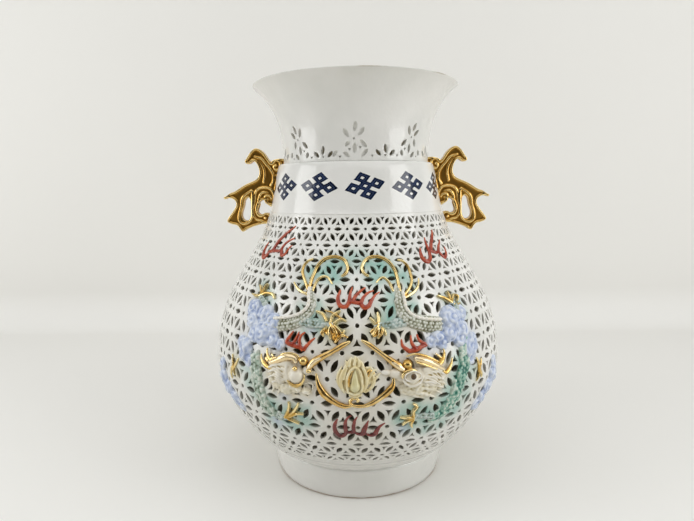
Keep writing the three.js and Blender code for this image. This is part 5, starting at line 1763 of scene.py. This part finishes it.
# %% The washes, by strength, as spots of angle, height and reach
green_washes = {
    1: [
        (-11.5, 176, 8), (11, 176, 8), (16, 171, 7), (13, 151, 7), (11.6, 145, 6), (-31.6, 80, 6),
        (31, 87, 7), (-26, 78, 7), (24.6, 78, 7)],
    0.9: [
        (-9, 170, 7), (-5.6, 178, 6), (-15, 172, 7), (-20.4, 172, 6), (8, 170, 7), (5, 178, 6),
        (20.6, 170, 6), (13.4, 158, 5), (-13, 140.6, 5), (32.6, 95, 6), (28, 80, 7), (24, 76, 6),
        (-24, 83, 6), (-20, 84, 6), (-18, 78, 6), (19, 84, 6), (14.4, 81, 6), (-31, 85, 7),
        (-22.4, 71.6, 6), (19, 87, 7), (36.8, 79, 7), (24, 84, 6)],
    0.8: [
        (22.4, 164, 5), (21.6, 151, 5), (-15.5, 146, 5), (-37, 104, 5), (-35.6, 93, 6), (-34, 86, 6),
        (35.4, 104, 6), (-25, 74, 6), (31.6, 70, 6), (18, 73, 6), (19, 75, 6), (28, 88, 5)],
    0.7: [
        (-22, 166, 5), (-1.8, 182, 6), (-14.6, 153, 4), (20.8, 158, 4), (-40, 156, 6), (-36.6, 152, 5),
        (42.6, 148, 6), (-33.4, 75, 5), (36.8, 114, 6), (35.4, 82, 6), (-39, 106, 6), (25.3, 68, 6),
        (37.7, 93, 6)],
    0.6: [
        (2.4, 183, 5), (-18.6, 137, 4), (37.6, 152, 5), (40, 98, 5), (-16.6, 88, 4), (15, 88, 5),
        (-31.4, 70.5, 6), (-41.2, 97, 5), (41, 88, 6), (42, 112, 6)],
    0.5: [
        (0, 177, 5), (-21.6, 151, 4), (-44, 161, 5), (45, 142, 5), (-39, 90, 5), (44, 104, 5),
        (-44, 107, 5)]}
olive_washes = {
    0.8: [(-8, 144, 5), (-5, 138, 4), (7.2, 145, 4.5)],
    0.7: [(-10.4, 148, 4.5), (6, 137, 5)],
    0.6: [(-3.4, 133, 3.5), (-50, 104, 6), (-49, 111, 5), (47.6, 104, 6), (47, 97, 4), (-42, 158, 4)],
    0.5: [(-22, 85, 4), (18, 86, 4), (40, 153, 4), (-9, 134, 4), (-38, 99, 4)],
    0.4: [(9, 134, 4)]}
cream_washes = {
    0.9: [(-1, 107, 8)],
    0.8: [(-27, 102, 6), (-1, 117, 7)],
    0.7: [(-22, 98, 6), (-30, 108, 4.5), (20, 98, 7), (26, 98, 6), (3.6, 112, 5)],
    0.6: [(-16.6, 100, 5), (-31, 117, 5), (14, 102, 5), (29, 104, 5), (30, 116, 5)],
    0.5: [(10, 112, 4), (-15, 113, 4), (-48, 99, 4)],
    0.22: [(-24, 104, 26), (24, 104, 26), (0, 78, 26)],
    0.2: [(0, 120, 30), (-12, 140, 22), (12, 140, 22)]}
blue_washes = {0.6: [(-30, 73, 5)], 0.5: [(16, 72, 4), (-16, 138.6, 3.5)], 0.4: [(-25, 94, 4)]}
for drawing in dragons.values():
    blue_washes[0.6] += [(*spot[:2], 5.5) for spot in drawing["big_cloud"] + drawing["round_cloud"]]
washes = {"green": green_washes, "olive": olive_washes, "cream": cream_washes, "blue": blue_washes}
print("washes:", ", ".join(washes))


# %% The washes, stored on the lattice
def brush_wash(wall, name):
    """Stores how much of one brushed colour each corner takes."""
    points = points_of(wall) / MM
    angle = np.arctan2(points[:, 0], -points[:, 1])
    level = np.interp(points[:, 2], belly[:, 1], belly[:, 2]) * BENCH
    values = np.zeros(len(points))
    for turned in (0, pi):
        around = ((angle + turned + pi) % (2 * pi) - pi) * BENCH
        for strength, spots in washes[name].items():
            for degrees, height, reach in spots:
                x, y = on_bench(degrees, height)
                squared = ((around - x) ** 2 + (level - y) ** 2) * float(scale_at(y)) ** 2
                values = np.maximum(values, strength * np.exp(-squared / reach**2))
    mark(wall, name, values)


def mark_depth(wall):
    """Stores how deep each corner lies in a hole, which sets the painted shade there."""
    points = points_of(wall) / MM
    radius, out_r = (np.interp(points[:, 2], belly[:, 1], belly[:, column]) for column in (0, 3))
    inside = (radius - np.hypot(points[:, 0], points[:, 1])) * out_r
    mark(wall, "depth", np.clip((inside - 0.1) / 0.8, 0, 0.9))


for wall, node in ((lower_wall, "lower_pierced_wall"), (upper_wall, "upper_pierced_wall")):
    for name in washes:
        brush_wash(wall, name)
    # How deep a corner lies sets the painted shade inside the holes.
    mark_depth(wall)
    smooth_faces(wall, 34)
    finish_piece(wall, [node], "porcelain_glaze", washed_shaded_glaze)
print("pieces:", len(made))

# %% [markdown]
# ## The stage
#
# A plain pale sheet that curves up behind the vase, as photographers use, gives the soft line
# between table and wall. It is one plane whose back edge is extruded upwards and bevelled. The
# paper looks white to the camera, and throws a little less light back on the vase than it shows.

# %% Floor and backdrop
SHEET, SHEET_MIDDLE = 2.4, -0.76
SHEET_UP, CURVE = 1.6, 0.06
bpy.ops.mesh.primitive_plane_add(size=SHEET, location=(0, SHEET_MIDDLE, 0))
stage = bpy.context.object
stage.name = "sweep"
bpy.ops.object.transform_apply(location=True)
bpy.ops.object.mode_set(mode="EDIT")
bpy.ops.mesh.select_all(action="DESELECT")
bpy.ops.object.mode_set(mode="OBJECT")
for edge in stage.data.edges:
    edge.select = all(stage.data.vertices[index].co.y > 0 for index in edge.vertices)
bpy.ops.object.mode_set(mode="EDIT")
bpy.ops.mesh.select_mode(type="EDGE")
bpy.ops.mesh.extrude_region_move(TRANSFORM_OT_translate={"value": (0, 0, SHEET_UP)})
bpy.ops.object.mode_set(mode="OBJECT")
modify(stage, "BEVEL", width=CURVE, segments=12, limit_method="ANGLE")
smooth_faces(stage, 60)


def build_stage_paper():
    """Pale paper, with painted light: a little lighter on the wall than on the table."""
    material, tree, surface = new_material("stage_paper")
    # Painted light: the same sheet is made lighter where it rises into the wall.
    up = ramp(tree, one_axis(tree, "Z"), 0.0, 0.12, interpolation_type="SMOOTHSTEP")
    shown = mix_colours(tree, up, colour(242, 241, 236), colour(247, 246, 241))
    path = add(tree, "ShaderNodeLightPath")
    seen = math_node(tree, "MAXIMUM", path.outputs["Is Camera Ray"], path.outputs["Is Glossy Ray"])
    seen = math_node(tree, "MAXIMUM", seen, path.outputs["Is Transmission Ray"])
    feed(mix_colours(tree, seen, colour(216, 214, 208), shown), surface.inputs["Base Color"])
    surface.inputs["Roughness"].default_value = 0.9
    surface.inputs["Specular IOR Level"].default_value = 0.1
    return material


stage.data.materials.append(build_stage_paper())
print("stage faces:", len(stage.data.polygons))

# %% [markdown]
# ## Camera and light
#
# The camera stands where the photograph was taken: it was solved from the outline of the vase and
# the ellipses of its foot and rim. Two tall soft lights stand to the left and to the right, where
# their reflections fall on the collar, with a broad soft one overhead. The world is pale behind
# the vase and dim behind the camera, as a room is that is lit from its windows.

# %% Camera
FOCAL, PIXELS_WIDE = 527.28, 694
SENSOR = 36.0
camera_data = bpy.data.cameras.new("camera")
camera = bpy.data.objects.new("camera", camera_data)
bpy.context.scene.collection.objects.link(camera)
bpy.context.scene.camera = camera
camera_data.sensor_width = SENSOR
camera_data.lens = FOCAL * SENSOR / PIXELS_WIDE
pitch, yaw, roll = 0.137196, -0.018183, 0.011672
forward = Vector((sin(yaw) * cos(pitch), cos(yaw) * cos(pitch), -sin(pitch)))
across = Vector((cos(yaw), -sin(yaw), 0))
upwards = across.cross(forward)
turned_across = cos(roll) * across - sin(roll) * upwards
turned_up = sin(roll) * across + cos(roll) * upwards
camera.matrix_world = Matrix((turned_across, turned_up, -forward)).transposed().to_4x4()
camera.location = (0, -0.4287, 0.22782)
print("lens in mm:", round(camera_data.lens, 2))


# %% Lights
def add_softbox(name, place, aim, width, height, power):
    """A rectangular soft light that points at a place."""
    data = bpy.data.lights.new(name, "AREA")
    data.shape, data.size, data.size_y, data.energy = "RECTANGLE", width, height, power
    lamp = bpy.data.objects.new(name, data)
    bpy.context.scene.collection.objects.link(lamp)
    lamp.location = place
    lamp.rotation_euler = (Vector(aim) - Vector(place)).to_track_quat("-Z", "Y").to_euler()


add_softbox("left_window", (-1.15, -0.32, 0.45), (0, 0, 0.15), 0.6, 0.85, 5.3)
add_softbox("right_window", (1.02, -0.50, 0.45), (0, 0, 0.15), 0.6, 0.85, 5.3)
add_softbox("ceiling", (0, -0.25, 1.3), (0, 0, 0), 2.2, 2.2, 14.6)
world = bpy.data.worlds.new("room")
bpy.context.scene.world = world
world.use_nodes = True
room = world.node_tree
behind = ramp(room, one_axis(room, "Y", "Generated"), -0.92, -0.12, interpolation_type="SMOOTHSTEP")
room_colour = mix_colours(room, behind, colour(62, 59, 55), colour(236, 240, 246))
feed(room_colour, room.nodes["Background"].inputs["Color"])
room.nodes["Background"].inputs["Strength"].default_value = 0.33
bpy.context.scene.view_settings.view_transform = "Standard"
print("lights:", len(bpy.data.lights))

# %% [markdown]
# ## Triangles
#
# The last cell prints how many triangles the made pieces have. The dressed vase must stay inside
# the box of the imported model.

# %% Count the triangles
print("triangles:", sum(len(p.data.loop_triangles) or len(p.data.polygons) for p in made))
